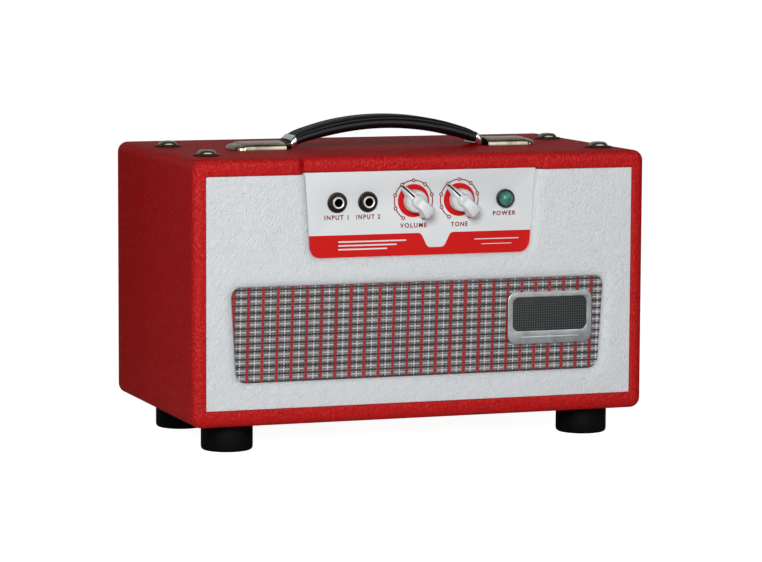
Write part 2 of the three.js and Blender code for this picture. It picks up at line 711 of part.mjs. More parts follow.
function chassis() {
  const [front, rear] = [CHASSIS_FRONT, CHASSIS_REAR];
  const [half, low, top] = [CHASSIS_HALF, CHASSIS_BOTTOM, CHASSIS_TOP];
  let tray = block(-half, half, front, rear, low, top);
  const [y0, y1] = [front + SHEET, rear - SHEET];
  tray = tray.subtract(block(-half + SHEET, half - SHEET, y0, y1, low + SHEET, top - SHEET));
  tray = tray.subtract(block(-half + FLANGE, half - FLANGE, y0, y1, top - 2, top + 1));
  tray = drillControls(tray, front - 1, front + SHEET + 1);
  for (const side of [-1, 1]) {
    for (const y of SCREW_DEPTHS) {
      tray = tray.subtract(rodZ(2.4 + GAP, side * SCREW_X, y, top - 3, top + 1, COARSE));
    }
  }
  for (const tube of TUBES) {
    tray = tray.subtract(rodZ(SOCKET_R + GAP, tube.x, TUBE_DEPTH, low - 1, low + SHEET + 1));
  }
  const z = REAR_ROW_Z;
  const [iw, ih] = INLET_HALF;
  const [sw, sh] = SWITCH_HALF;
  const wall = [rear - SHEET - 1, rear + 1];
  tray = tray.subtract(cell(INLET_X, z, iw + GAP, ih + GAP, ...wall));
  tray = tray.subtract(cell(SWITCH_X, z, sw + GAP, sh + GAP, ...wall));
  tray = tray.subtract(rodY(FUSE_R + GAP, FUSE_X, z, ...wall));
  tray = tray.subtract(rodY(BUSHING_R + GAP, SPEAKER_JACK_X, z, ...wall));
  add('chassis', tray, 'steel');
}

function tubes() {
  const low = CHASSIS_BOTTOM;
  for (const { name, socket, x, r, length } of TUBES) {
    const pins = 4;
    const base = low - 4;
    const seat = rodZ(SOCKET_R, x, TUBE_DEPTH, base, low + 6);
    const rim = rodZ(SOCKET_R + 2.5, x, TUBE_DEPTH, base, low - STACK_GAP);
    const centre = rodZ(4, x, TUBE_DEPTH, base - 1, base + pins + GAP, COARSE);
    add(socket, seat.add(rim).subtract(centre), 'black');
    const glassTop = base - GAP;
    const tube = turnedZ([
      [0, glassTop - length],
      [2.2, glassTop - length + 4],
      [r * 0.8, glassTop - length + 8],
      [r, glassTop - length + 15],
      [r, glassTop - 3],
      [r - 2, glassTop],
      [3.6, glassTop],
      [3.6, glassTop + pins],
      [0, glassTop + pins],
    ], x, TUBE_DEPTH, 0, 16);
    add(name, tube, 'glass');
  }
}

// Laminated core with a rounded winding cover through it, hung under the chassis.
function transformer(name, x, y, w, d, h) {
  const top = CHASSIS_BOTTOM - STACK_GAP;
  const core = block(x - w / 2, x + w / 2, y - d * 0.3, y + d * 0.3, top - h, top);
  const bells = softBlock(x - w * 0.38, x + w * 0.38, y - d / 2, y + d / 2, top - h + 4, top - 4, 4, 1);
  const foot = block(x - w / 2 - 7, x + w / 2 + 7, y - d * 0.3, y + d * 0.3, top - 1.6, top);
  add(name, core.add(bells).add(foot), 'copper');
}

function chassisParts() {
  transformer('power_transformer', 122, 120, 66, 66, 60);
  transformer('output_transformer', 10, 140, 50, 46, 44);
  const z = CHASSIS_BOTTOM - STACK_GAP;
  const can = turnedZ([
    [0, z - 52],
    [13, z - 52],
    [14, z - 51],
    [14, z],
    [0, z],
  ], -128, TUBE_DEPTH, 0, 16);
  add('filter_capacitor', can, 'steel');
  const deck = CHASSIS_BOTTOM + SHEET + 8;
  let board = block(-110, 100, 60, 118, deck, deck + 1.6);
  for (let i = 0; i < 5; i += 1) {
    const x = -86 + i * 40;
    board = board.add(block(x - 9, x + 9, 72, 80, deck + 1, deck + 9));
    board = board.add(rodZ(6, x + 4, 100, deck + 1, deck + 16, 8));
  }
  add('circuit_board', board, 'board');
}

// ---- rear ------------------------------------------------------------------------------------

function rearPanel() {
  const half = INNER_HALF - STACK_GAP;
  const [y0, y1] = [REAR_PANEL_FRONT, REAR_PANEL_FRONT + REAR_PANEL_T];
  let panel = block(-half, half, y0, y1, BASE_T + STACK_GAP, REAR_PANEL_TOP);
  const vent = roundedRect(-VENT_HALF, VENT_HALF, ...VENT_Z, 8);
  panel = panel.subtract(slab(vent, y0 - 1, y1 + 1, 4));
  for (const side of [-1, 1]) {
    for (const z of PANEL_SCREW_Z) {
      panel = panel.subtract(rodY(2.3, side * PANEL_SCREW_X, z, y0 - 1, y1 + 1, COARSE));
    }
  }
  add('rear_panel', panel, 'redVinyl');
  const mesh = roundedRect(-VENT_HALF - 7, VENT_HALF + 7, VENT_Z[0] - 7, VENT_Z[1] + 7, 4);
  let guard = slab(mesh, y0 - STACK_GAP - 1.2, y0 - STACK_GAP, 2);
  const columns = 5;
  const rows = 4;
  const pitchX = (VENT_HALF * 2) / columns;
  const pitchZ = (VENT_Z[1] - VENT_Z[0]) / rows;
  for (let i = 0; i < columns; i += 1) {
    for (let j = 0; j < rows; j += 1) {
      const x = -VENT_HALF + (i + 0.5) * pitchX;
      const z = VENT_Z[0] + (j + 0.5) * pitchZ;
      const [w, h] = [pitchX / 2 - 2, pitchZ / 2 - 2];
      guard = guard.subtract(block(x - w, x + w, y0 - 3, y0 + 1, z - h, z + h));
    }
  }
  add('rear_vent_grille', guard, 'black');
  const names = ['lower', 'upper'];
  PANEL_SCREW_Z.forEach((z, i) => {
    for (const [place, side] of [['left', -1], ['right', 1]]) {
      const x = side * PANEL_SCREW_X;
      const screw = turnedY([
        [0, y1 + 2.6],
        [2.4, y1 + 2.3],
        [4.4, y1 + 1],
        [4.6, y1 + STACK_GAP],
        [1.9, y1 + STACK_GAP],
        [1.9, y0 - 8],
        [0, y0 - 10],
      ], x, z, COARSE);
      add(`rear_panel_screw_${names[i]}_${place}`, screw, 'nickel');
    }
  });
}

function rearControls() {
  const face = CHASSIS_REAR + STACK_GAP;
  const z = REAR_ROW_Z;
  const [iw, ih] = INLET_HALF;
  const inlet = cell(INLET_X, z, iw, ih, face - 24, face + 1);
  const ears = slab(roundedRect(INLET_X - 25, INLET_X + 25, z - 13, z + 13, 4), face, face + 3, 3);
  const mouthOutline = roundedRect(INLET_X - 12.2, INLET_X + 12.2, z - 8.4, z + 8.4, 2);
  const mouth = slab(mouthOutline, face - 17, face + 4, 2);
  let socket = inlet.add(ears).subtract(mouth);
  for (const [dx, dz] of [[-6.5, -2], [0, 2], [6.5, -2]]) {
    const x = INLET_X + dx;
    socket = socket.add(cell(x, z + dz, 1, 2, face - 18, face - 2));
  }
  add('mains_inlet', socket, 'black');

  const [sw, sh] = SWITCH_HALF;
  const rim = cell(SWITCH_X, z, sw + 2, sh + 2, face, face + 2);
  const well = cell(SWITCH_X, z, sw, sh, face - 18, face + 1);
  const pit = cell(SWITCH_X, z, sw - SWITCH_WALL, sh - SWITCH_WALL, face - 11, face + 3);
  add('power_switch_frame', rim.add(well).subtract(pit), 'black');
  rocker();

  const holder = rodY(FUSE_R, FUSE_X, z, face - 30, face + 1);
  const collar = rodY(8.4, FUSE_X, z, face, face + 3.4);
  const bore = rodY(4.4, FUSE_X, z, face - 26, face + 4);
  add('fuse_holder', holder.add(collar).subtract(bore), 'black');
  const cap = turnedY([
    [0, face + 11.6],
    [6.2, face + 11.6],
    [6.8, face + 11],
    [7.2, face + 3.4 + GAP],
    [4, face + 3.4 + GAP],
    [4, face - 18],
    [0, face - 18],
  ], FUSE_X, z);
  const slotCut = block(FUSE_X - 4.4, FUSE_X + 4.4, face + 10.2, face + 13, z - 0.7, z + 0.7);
  add('fuse_cap', cap.subtract(slotCut), 'black');

  const x = SPEAKER_JACK_X;
  const bodyRear = CHASSIS_REAR - SHEET - STACK_GAP;
  const barrel = rodY(BUSHING_R, x, z, bodyRear - 1, face + 4.4);
  const body = softBlock(x - 9, x + 9, bodyRear - 22, bodyRear, z - 9, z + 9, 1.5, 1);
  const plugWay = rodY(PLUG_R, x, z, bodyRear - 23, face + 6);
  add('speaker_jack', barrel.add(body).subtract(plugWay), 'black');
  const nut = slab(hexagon(12.7, x, z), face, face + 2.4);
  add('speaker_jack_nut', nut.subtract(rodY(BUSHING_R + GAP, x, z, face - 1, face + 4)), 'nickel');
}

const ROCKER_PIVOT = 2;
const SWITCH_WALL = 1.2;

// Rocker on a pivot along X inside the frame, resting tilted to its off side.
function rocker() {
  const [sw, sh] = SWITCH_HALF;
  const half = sw - SWITCH_WALL - GAP;
  const reach = sh - SWITCH_WALL - 0.9;
  const side = new THREE.Shape();
  side.moveTo(-3, -reach + 1.6);
  side.lineTo(3.2, -reach);
  side.quadraticCurveTo(1.6, 0, 3.2, reach);
  side.lineTo(-3, reach - 1.6);
  side.lineTo(-5.4, 0);
  const geometry = geometryOf(bar(side, -half, half));
  geometry.rotateX((ROCKER_TILT_DEG * Math.PI) / 180);
  const y = CHASSIS_REAR + STACK_GAP - ROCKER_PIVOT;
  add('power_switch_rocker', solid(geometry.translate(SWITCH_X, y, REAR_ROW_Z)), 'black');
}

// ---- assembly --------------------------------------------------------------------------------

cabinetShell();
frontBaffle();
grille();
badge();
faceplate();
feet();
chassisScrews();
handle();
inputJacks();
pot('volume_pot', VOLUME_X);
pot('tone_pot', TONE_X);
controlShaft('volume_shaft', VOLUME_X);
controlShaft('tone_shaft', TONE_X);
pointerKnob('volume_knob', VOLUME_X);
pointerKnob('tone_knob', TONE_X);
pilotLamp();
chassis();
tubes();
chassisParts();
rearPanel();
rearControls();

export default root;
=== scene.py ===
import json
import math

import bmesh
import bpy
from mathutils import Matrix, Vector
from mathutils.geometry import tessellate_polygon


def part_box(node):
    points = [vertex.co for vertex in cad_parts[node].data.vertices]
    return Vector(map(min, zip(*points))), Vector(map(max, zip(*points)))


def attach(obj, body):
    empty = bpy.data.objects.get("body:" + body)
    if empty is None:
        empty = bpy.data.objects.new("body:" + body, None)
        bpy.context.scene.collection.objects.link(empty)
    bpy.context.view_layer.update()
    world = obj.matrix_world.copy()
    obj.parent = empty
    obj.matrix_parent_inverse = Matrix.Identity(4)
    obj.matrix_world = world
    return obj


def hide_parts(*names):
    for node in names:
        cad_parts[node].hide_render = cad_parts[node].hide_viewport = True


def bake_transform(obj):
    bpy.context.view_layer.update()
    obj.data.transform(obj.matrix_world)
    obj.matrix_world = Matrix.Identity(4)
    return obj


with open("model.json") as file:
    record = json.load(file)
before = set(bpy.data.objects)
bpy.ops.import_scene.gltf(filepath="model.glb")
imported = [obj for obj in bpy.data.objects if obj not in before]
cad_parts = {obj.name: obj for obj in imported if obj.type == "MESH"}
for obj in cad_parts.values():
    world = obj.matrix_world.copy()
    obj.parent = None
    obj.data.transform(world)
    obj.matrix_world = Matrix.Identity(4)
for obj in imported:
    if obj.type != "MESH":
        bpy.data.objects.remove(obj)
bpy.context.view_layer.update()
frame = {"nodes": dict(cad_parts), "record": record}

MM = 0.001

# ---- places taken from the frame

SHELL_LOW, SHELL_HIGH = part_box("cabinet_shell")
FRONT = SHELL_LOW.y
BASE = SHELL_LOW.z
WIDTH = (SHELL_HIGH.x - SHELL_LOW.x) / MM
DEPTH = (SHELL_HIGH.y - SHELL_LOW.y) / MM
HEIGHT = (SHELL_HIGH.z - SHELL_LOW.z) / MM


def place(x, depth, height):
    """A point given in millimetres: across, behind the cabinet's front, above its base."""
    return Vector((x * MM, FRONT + depth * MM, BASE + height * MM))


def centre(node):
    low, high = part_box(node)
    return (low + high) / 2


def local(point):
    """A frame point back in millimetres: across, behind the front, above the base."""
    return Vector((point.x / MM, (point.y - FRONT) / MM, (point.z - BASE) / MM))


# ---- shape details in millimetres, matching the cabinet's own drawing

SIDE_T = 11.0
TOP_T = 13.5
BASE_T = 13.3
LIP_R = 1.6
CUTBACK = 6.5
CUTBACK_HALF = 97.3
CUTBACK_FLARE = 8.0
PANEL_TOP = 197.6
PANEL_BOTTOM = 130.0
PANEL_HALF_TOP = 97.6
PANEL_HALF_BOTTOM = 92.6
GRILLE_TOP = 109.0
GRILLE_BOTTOM = 33.6
GRILLE_HALF_TOP = 158.0
GRILLE_HALF_BOTTOM = 153.5
CORNER_R = 9.5
SLOPE_RUN = 9.0
WALL_TURN = math.radians(84)
WALL_DEPTH = 5.2

# ---- mesh helpers


def linked(name, data):
    """A new object in the scene."""
    made = bpy.data.objects.new(name, data)
    bpy.context.scene.collection.objects.link(made)
    return made


def face_outward(mesh, merge=0.0):
    """Turns faces outward, first merging points closer than merge."""
    graph = bmesh.new()
    graph.from_mesh(mesh)
    if merge:
        bmesh.ops.remove_doubles(graph, verts=graph.verts, dist=merge)
    bmesh.ops.recalc_face_normals(graph, faces=graph.faces)
    graph.to_mesh(mesh)
    graph.free()


def shade(mesh, sharp):
    """Smooth shading with edges steeper than sharp degrees kept crisp."""
    mesh.shade_smooth()
    mesh.set_sharp_from_angle(angle=math.radians(sharp))


def tidy_normals(piece, sharp=40):
    face_outward(piece.data)
    shade(piece.data, sharp)


def mesh_object(name, points, faces, sharp=40):
    """A smooth-shaded object from points in millimetres (see place) and faces."""
    mesh = bpy.data.meshes.new(name)
    mesh.from_pydata([place(*p) for p in points], [], faces)
    mesh.validate()
    piece = linked(name, mesh)
    tidy_normals(piece, sharp)
    return piece


def drawn_mesh(name, curve):
    """The mesh that a curve or lettering makes."""
    draft = linked(name + "_draft", curve)
    bpy.context.view_layer.update()
    mesh = bpy.data.meshes.new_from_object(draft)
    bpy.data.objects.remove(draft)
    return mesh


def grid_faces(rows, columns, wrap_rows=False, wrap_columns=False, start=0):
    """Quads of a grid of points stored row by row."""
    faces = []
    for i in range(rows if wrap_rows else rows - 1):
        for j in range(columns if wrap_columns else columns - 1):
            a, b = i, (i + 1) % rows
            c, d = j, (j + 1) % columns
            quad = (a * columns + c, a * columns + d, b * columns + d, b * columns + c)
            faces.append(tuple(start + k for k in quad))
    return faces


def turned(name, profile, at, axis="y", segments=48, sharp=35):
    """A body turned round an axis through at, from (radius, offset along the axis) pairs.
    Pairs with radius 0 close the ends."""
    points, faces = [], []
    rings = []
    for radius, offset in profile:
        ring = []
        count = 1 if radius == 0 else segments
        for k in range(count):
            t = math.tau * k / segments
            a, b = radius * math.cos(t), radius * math.sin(t)
            if axis == "y":
                points.append((at.x + a, at.y + offset, at.z + b))
            elif axis == "z":
                points.append((at.x + a, at.y + b, at.z + offset))
            ring.append(len(points) - 1)
        rings.append(ring)
    for low, high in zip(rings, rings[1:]):
        for k in range(segments):
            n = (k + 1) % segments
            if len(low) == 1 and len(high) > 1:
                faces.append((low[0], high[k], high[n]))
            elif len(high) == 1 and len(low) > 1:
                faces.append((low[k], high[0], low[n]))
            elif len(low) > 1:
                faces.append((low[k], high[k], high[n], low[n]))
    if len(rings[0]) > 1 and len(rings[-1]) > 1:
        for k in range(segments):
            n = (k + 1) % segments
            faces.append((rings[-1][k], rings[0][k], rings[0][n], rings[-1][n]))
    return mesh_object(name, points, faces, sharp)


def arc(cx, cy, radius, start, end, steps):
    """Points on a circle between two angles in degrees."""
    out = []
    for k in range(steps + 1):
        t = math.radians(start + (end - start) * k / steps)
        out.append((cx + radius * math.cos(t), cy + radius * math.sin(t)))
    return out


def rounded_loop(x0, x1, z0, z1, r, steps=8):
    """Outline of a rectangle with round corners, anticlockwise seen from the front."""
    out = arc(x1 - r, z0 + r, r, -90, 0, steps)
    out += arc(x1 - r, z1 - r, r, 0, 90, steps)
    out += arc(x0 + r, z1 - r, r, 90, 180, steps)
    return out + arc(x0 + r, z0 + r, r, 180, 270, steps)


def plate(name, loops, front, thickness, bevel=0.0, resolution=3, sharp=30):
    """A flat piece from closed loops of (x, z), the first outside and the rest holes or islands,
    with its face at depth front and its edges rounded by bevel."""
    curve = bpy.data.curves.new(name, "CURVE")
    curve.dimensions = "2D"
    curve.fill_mode = "BOTH"
    curve.extrude = max(thickness / 2 - bevel, 0.0) * MM
    curve.bevel_depth = bevel * MM
    curve.bevel_resolution = resolution
    curve.offset = -bevel * MM
    for loop in loops:
        spline = curve.splines.new("POLY")
        spline.points.add(len(loop) - 1)
        for point, (x, z) in zip(spline.points, loop):
            point.co = (x * MM, z * MM, 0, 1)
        spline.use_cyclic_u = True
    mesh = drawn_mesh(name, curve)
    stand = Matrix.Rotation(math.pi / 2, 4, "X")
    stand.translation = Vector((0, FRONT + (front + thickness / 2) * MM, BASE))
    mesh.transform(stand)
    mesh.name = name
    piece = linked(name, mesh)
    face_outward(mesh, 1e-6)
    shade(mesh, sharp)
    return piece


def joined(name, pieces):
    """Several mesh objects as one."""
    graph = bmesh.new()
    for piece in pieces:
        piece.data.transform(piece.matrix_world)
        graph.from_mesh(piece.data)
    mesh = bpy.data.meshes.new(name)
    graph.to_mesh(mesh)
    graph.free()
    for piece in pieces:
        bpy.data.objects.remove(piece)
    whole = linked(name, mesh)
    shade(mesh, 35)
    return whole


def block(name, low, high, bevel=0.6, segments=3):
    """A box between two corners in millimetres with rounded edges."""
    graph = bmesh.new()
    bmesh.ops.create_cube(graph, size=1)
    size = Vector(high) - Vector(low)
    middle = (Vector(high) + Vector(low)) / 2
    for v in graph.verts:
        v.co = Vector((v.co.x * size.x, v.co.y * size.y, v.co.z * size.z)) + middle
    bmesh.ops.bevel(
        graph, geom=graph.edges, offset=bevel, segments=segments, affect="EDGES", profile=0.5
    )
    for v in graph.verts:
        v.co = place(*v.co)
    mesh = bpy.data.meshes.new(name)
    graph.to_mesh(mesh)
    graph.free()
    piece = linked(name, mesh)
    tidy_normals(piece, 50)
    return piece


def subtract(piece, cutter):
    """Cuts one piece by another, which is then removed."""
    modifier = piece.modifiers.new("cut", "BOOLEAN")
    modifier.object = cutter
    modifier.operation = "DIFFERENCE"
    modifier.solver = "EXACT"
    apply_modifiers(piece)
    bpy.data.objects.remove(cutter)
    return piece


def apply_modifiers(piece):
    """Replaces a piece's mesh by the mesh its modifiers make."""
    graph = bpy.context.evaluated_depsgraph_get()
    graph.update()
    mesh = bpy.data.meshes.new_from_object(piece.evaluated_get(graph))
    piece.modifiers.clear()
    piece.data = mesh
    return piece


def finish_piece(piece, material, body="root", replaces=()):
    """Material, material slot, body and the CAD nodes that a piece stands for."""
    piece.data.materials.clear()
    piece.data.materials.append(material)
    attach(piece, body)
    if replaces:
        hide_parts(*replaces)
    return piece


# ---- material helpers


class Shader:
    """A Principled material whose nodes are added and linked through short calls."""

    def __init__(self, name):
        self.material = bpy.data.materials.new(name)
        self.material.use_nodes = True
        self.nodes = self.material.node_tree.nodes
        self.links = self.material.node_tree.links
        self.surface = self.nodes["Principled BSDF"]
        self.position = self.add("ShaderNodeTexCoord").outputs["Object"]

    def feed(self, socket, value):
        if isinstance(value, bpy.types.NodeSocket):
            self.links.new(value, socket)
        else:
            socket.default_value = value

    def add(self, kind, inputs=None, **settings):
        node = self.nodes.new(kind)
        for key, value in settings.items():
            setattr(node, key, value)
        for key, value in (inputs or {}).items():
            self.feed(node.inputs[key], value)
        return node

    def set(self, **values):
        for key, value in values.items():
            self.feed(self.surface.inputs[key.replace("_", " ")], value)
        return self

    def math(self, operation, a, b=0.0, c=0.0):
        node = self.add("ShaderNodeMath", operation=operation)
        for socket, value in zip(node.inputs, (a, b, c)):
            self.feed(socket, value)
        return node.outputs[0]

    def noise(self, scale, detail=3.0, roughness=0.5, vector=None):
        inputs = {"Scale": scale, "Detail": detail, "Roughness": roughness}
        inputs["Vector"] = vector or self.position
        return self.add("ShaderNodeTexNoise", inputs).outputs["Fac"]

    def walls(self, scale, vector):
        """Distance to the walls between random cells."""
        inputs = {"Scale": scale, "Vector": vector}
        node = self.add("ShaderNodeTexVoronoi", inputs, feature="DISTANCE_TO_EDGE")
        return node.outputs["Distance"]

    def bent(self, scale, amount, vector=None):
        """The position pushed about by noise, so that patterns lose their straight lines."""
        source = vector or self.position
        wave = self.add("ShaderNodeTexNoise", {"Scale": scale, "Detail": 2.0, "Vector": source})
        centred = self.add(
            "ShaderNodeVectorMath", {0: wave.outputs["Color"], 1: (0.5, 0.5, 0.5)}, operation="SUBTRACT"
        )
        push = self.add("ShaderNodeVectorMath", {0: centred.outputs[0]}, operation="SCALE")
        push.inputs["Scale"].default_value = amount
        moved = self.add("ShaderNodeVectorMath", {0: source, 1: push.outputs[0]}, operation="ADD")
        return moved.outputs[0]

    def stretched(self, sx, sy, sz):
        return self.add("ShaderNodeMapping", {"Vector": self.position, "Scale": (sx, sy, sz)}).outputs[0]

    def level(self, value, low, high, to_low=0.0, to_high=1.0, smooth=False):
        """A value's range low..high spread over to_low..to_high, held at both ends."""
        kind = "SMOOTHSTEP" if smooth else "LINEAR"
        node = self.add("ShaderNodeMapRange", interpolation_type=kind)
        for key, number in zip(("From Min", "From Max", "To Min", "To Max"), (low, high, to_low, to_high)):
            self.feed(node.inputs[key], number)
        self.feed(node.inputs["Value"], value)
        return node.outputs["Result"]

    def blend(self, factor, a, b):
        node = self.add("ShaderNodeMix", data_type="RGBA")
        self.feed(node.inputs["Factor"], factor)
        colour_sockets = [s for s in node.inputs if s.type == "RGBA"]
        for socket, value in zip(colour_sockets, (a, b)):
            self.feed(socket, value if isinstance(value, bpy.types.NodeSocket) else (*value, 1.0))
        return [s for s in node.outputs if s.type == "RGBA"][0]

    def bump(self, height, strength, distance, under=None):
        inputs = {"Height": height, "Strength": strength, "Distance": distance}
        if under is not None:
            inputs["Normal"] = under
        return self.add("ShaderNodeBump", inputs).outputs["Normal"]

    def dulled(self, head_on, grazing):
        """A specular level that falls away at glancing angles, as it does on rough coverings."""
        facing = self.add("ShaderNodeLayerWeight", {"Blend": 0.5}).outputs["Facing"]
        return self.level(facing, 0.25, 0.75, head_on, grazing)

    def edges(self, low=0.52, high=0.62):
        """Near 1 on sharp outer edges, 0 on flat and hollow places."""
        pointed = self.add("ShaderNodeNewGeometry").outputs["Pointiness"]
        return self.level(pointed, low, high)


def rgb(red, green, blue):
    """An sRGB colour given 0 to 255, as the renderer's linear values."""
    return tuple(
        (c / 255 / 12.92) if c <= 10 else ((c / 255 + 0.055) / 1.055) ** 2.4 for c in (red, green, blue)
    )


def grained_vinyl(name, low, high, cell, depth, turn, stretch, rough, sheen):
    """Covering with a pressed grain: short raised wrinkles, longer than wide, split by fine furrows; painted
    shade darkens the furrows and a painted highlight lightens the raised wrinkles.
    """
    s = Shader(name)
    laid = s.add("ShaderNodeMapping", {"Vector": s.position, "Rotation": (0, turn, 0)}).outputs[0]
    drawn = s.add("ShaderNodeMapping", {"Vector": laid, "Scale": (1.0, 1.0, 1 / stretch)}).outputs[0]
    bent = s.bent(1 / (cell * 3.0 * MM), cell * 1.6 * MM, drawn)
    wall = s.walls(1 / (cell * MM), bent)
    furrow = s.level(wall, 0.0, 0.4, smooth=True)
    folds = s.noise(1 / (cell * 0.8 * MM), 2, 0.5, bent)
    patch = s.noise(1 / (cell * 9 * MM), 2)
    height = s.math("MULTIPLY_ADD", furrow, 0.5, s.level(folds, 0.3, 0.7, 0.0, 0.6))
    # Colour follows the grain's height as well as a random patchy tone: painted shade in the furrows, painted
    # highlight on the raised wrinkles.
    tone = s.math("MULTIPLY_ADD", patch, 0.25, s.math("MULTIPLY", height, 0.65))
    s.set(Base_Color=s.blend(s.level(tone, 0.1, 0.85), low, high))
    s.set(Roughness=s.level(height, 0.0, 1.1, rough + 0.14, rough - 0.06))
    s.set(Normal=s.bump(height, 1.0, depth * MM), Specular_IOR_Level=s.dulled(sheen, 0.03))
    return s.material


def smooth_plastic(name, low, high, rough, mottle=18, coat=0.0):
    """Moulded plastic: slow colour drift, a breath of surface texture and paler worn edges."""
    s = Shader(name)
    drift = s.noise(1 / (mottle * MM), 3)
    speckle = s.noise(1 / (0.7 * MM), 2)
    worn = s.math("MULTIPLY", s.edges(), 0.35)
    s.set(Base_Color=s.blend(s.math("MAXIMUM", drift, worn), low, high))
    s.set(Roughness=s.level(speckle, 0.3, 0.7, rough - 0.06, rough + 0.08))
    s.set(Normal=s.bump(speckle, 0.25, 0.03 * MM), Coat_Weight=coat, Coat_Roughness=0.12)
    s.set(Specular_IOR_Level=s.dulled(0.4, 0.08))
    return s.material


def metal(name, low, high, rough, brush=(1.0, 1.0, 1.0), spread=0.1):
    """Metal with brushed or blotchy roughness, patchy tarnish and bright edges."""
    s = Shader(name)
    streak = s.noise(1 / (0.9 * MM), 4, 0.6, s.stretched(*brush))
    stain = s.noise(1 / (12 * MM), 4, 0.65)
    bright = s.edges()
    tone = s.math("MULTIPLY_ADD", bright, 0.6, s.level(stain, 0.3, 0.7))
    s.set(Base_Color=s.blend(tone, low, high), Metallic=1.0)
    s.set(Roughness=s.level(streak, 0.3, 0.7, rough - spread / 2, rough + spread / 2))
    s.set(Normal=s.bump(streak, 0.12, 0.01 * MM))
    return s.material


def bare_wood_material():
    s = Shader("bare_wood")
    along = s.stretched(0.12, 1.0, 1.0)
    rings = s.add("ShaderNodeTexWave", {"Vector": along, "Scale": 90.0, "Distortion": 6.0, "Detail": 3.0})
    fibre = s.noise(900, 4, 0.6, s.stretched(0.05, 1.0, 1.0))
    tone = s.math("MULTIPLY_ADD", fibre, 0.5, s.math("MULTIPLY", rings.outputs["Fac"], 0.5))
    s.set(Base_Color=s.blend(tone, rgb(140, 104, 66), rgb(196, 160, 112)))
    s.set(Roughness=s.level(fibre, 0.3, 0.7, 0.6, 0.8), Normal=s.bump(fibre, 0.4, 0.1 * MM))
    return s.material


def rubber_material():
    s = Shader("foot_rubber")
    dust = s.noise(1 / (9 * MM), 5, 0.7)
    pits = s.noise(1 / (0.8 * MM), 3, 0.6)
    s.set(Base_Color=s.blend(s.level(dust, 0.4, 0.8), (0.0008, 0.0008, 0.0008), (0.004, 0.004, 0.004)))
    s.set(Roughness=s.level(pits, 0.3, 0.7, 0.5, 0.7), Normal=s.bump(pits, 0.5, 0.08 * MM))
    s.set(Specular_IOR_Level=s.dulled(0.07, 0.03))
    return s.material


def strap_material():
    """Black moulded strap with fine lengthwise lines and a faint leather print."""
    s = Shader("strap_vinyl")
    creases = s.walls(1 / (1.5 * MM), s.bent(220, 0.001, s.stretched(0.6, 1.0, 1.0)))
    grain = s.level(creases, 0.0, 0.25)
    lines = s.noise(1 / (0.5 * MM), 2, 0.5, s.stretched(0.04, 1.0, 1.0))
    height = s.math("MULTIPLY_ADD", lines, 0.5, s.math("MULTIPLY", grain, 0.5))
    s.set(Base_Color=s.blend(height, (0.0015, 0.0015, 0.0015), (0.006, 0.006, 0.0065)))
    s.set(Roughness=s.level(height, 0.2, 0.9, 0.34, 0.22))
    s.set(Normal=s.bump(height, 0.25, 0.05 * MM), Specular_IOR_Level=s.dulled(0.22, 0.02))
    return s.material


def plate_material():
    s = Shader("white_plate")
    haze = s.noise(1 / (30 * MM), 3)
    speck = s.noise(1 / (0.6 * MM), 2)
    s.set(Base_Color=s.blend(haze, rgb(222, 225, 227), rgb(232, 235, 236)))
    s.set(Roughness=s.level(speck, 0.3, 0.7, 0.30, 0.40), Normal=s.bump(speck, 0.15, 0.02 * MM))
    s.set(Specular_IOR_Level=0.4)
    return s.material


def print_material(name, low, high):
    """Screen-printed ink: slightly uneven cover with a soft sheen."""
    s = Shader(name)
    cover = s.noise(1 / (1.2 * MM), 4, 0.65)
    drift = s.noise(1 / (20 * MM), 2)
    s.set(Base_Color=s.blend(s.math("MULTIPLY_ADD", cover, 0.4, s.math("MULTIPLY", drift, 0.5)), low, high))
    s.set(Roughness=s.level(cover, 0.3, 0.7, 0.42, 0.54), Normal=s.bump(cover, 0.2, 0.02 * MM))
    s.set(Specular_IOR_Level=0.2)
    return s.material


def knob_material(name, centre_point, turn):
    """Pale moulded knob with a black line painted along the pointer's nose."""
    s = Shader(name)
    move = s.add("ShaderNodeVectorMath", {0: s.position, 1: tuple(centre_point)}, operation="SUBTRACT")
    spin = s.add("ShaderNodeVectorRotate", {"Vector": move.outputs[0], "Angle": turn}, rotation_type="Y_AXIS")
    split = s.add("ShaderNodeSeparateXYZ", {0: spin.outputs[0]})
    across = s.math("ABSOLUTE", split.outputs["X"])
    thin = s.level(across, LINE_HALF * MM, (LINE_HALF + 0.12) * MM, 1.0, 0.0)
    ahead = s.level(split.outputs["Z"], 5.4 * MM, 5.6 * MM)
    line = s.math("MULTIPLY", thin, ahead)
    drift = s.noise(1 / (6 * MM), 3)
    pale = s.blend(drift, rgb(212, 216, 219), rgb(226, 229, 231))
    ink = s.blend(drift, (0.006, 0.006, 0.006), (0.012, 0.012, 0.012))
    s.set(Base_Color=s.blend(line, pale, ink))
    speck = s.noise(1 / (0.8 * MM), 2)
    s.set(Roughness=s.level(speck, 0.3, 0.7, 0.28, 0.36), Normal=s.bump(speck, 0.12, 0.02 * MM))
    s.set(Subsurface_Weight=0.08, Subsurface_Scale=0.002)
    s.set(Specular_IOR_Level=s.level(line, 0.0, 1.0, 0.4, 0.03))
    return s.material


def thread_material(name, low, high):
    """Spun thread: twisted strands along the yarn."""
    s = Shader(name)
    twist = s.add("ShaderNodeTexWave", {"Vector": s.position, "Scale": 420.0, "Distortion": 2.0})
    twist.bands_direction = "DIAGONAL"
    fuzz = s.noise(1 / (0.35 * MM), 3, 0.6)
    tone = s.math("MULTIPLY_ADD", twist.outputs["Fac"], 0.5, s.math("MULTIPLY", fuzz, 0.5))
    s.set(Base_Color=s.blend(tone, low, high), Roughness=s.level(fuzz, 0.3, 0.7, 0.6, 0.8))
    s.set(Normal=s.bump(tone, 0.6, 0.12 * MM), Sheen_Weight=0.1)
    return s.material


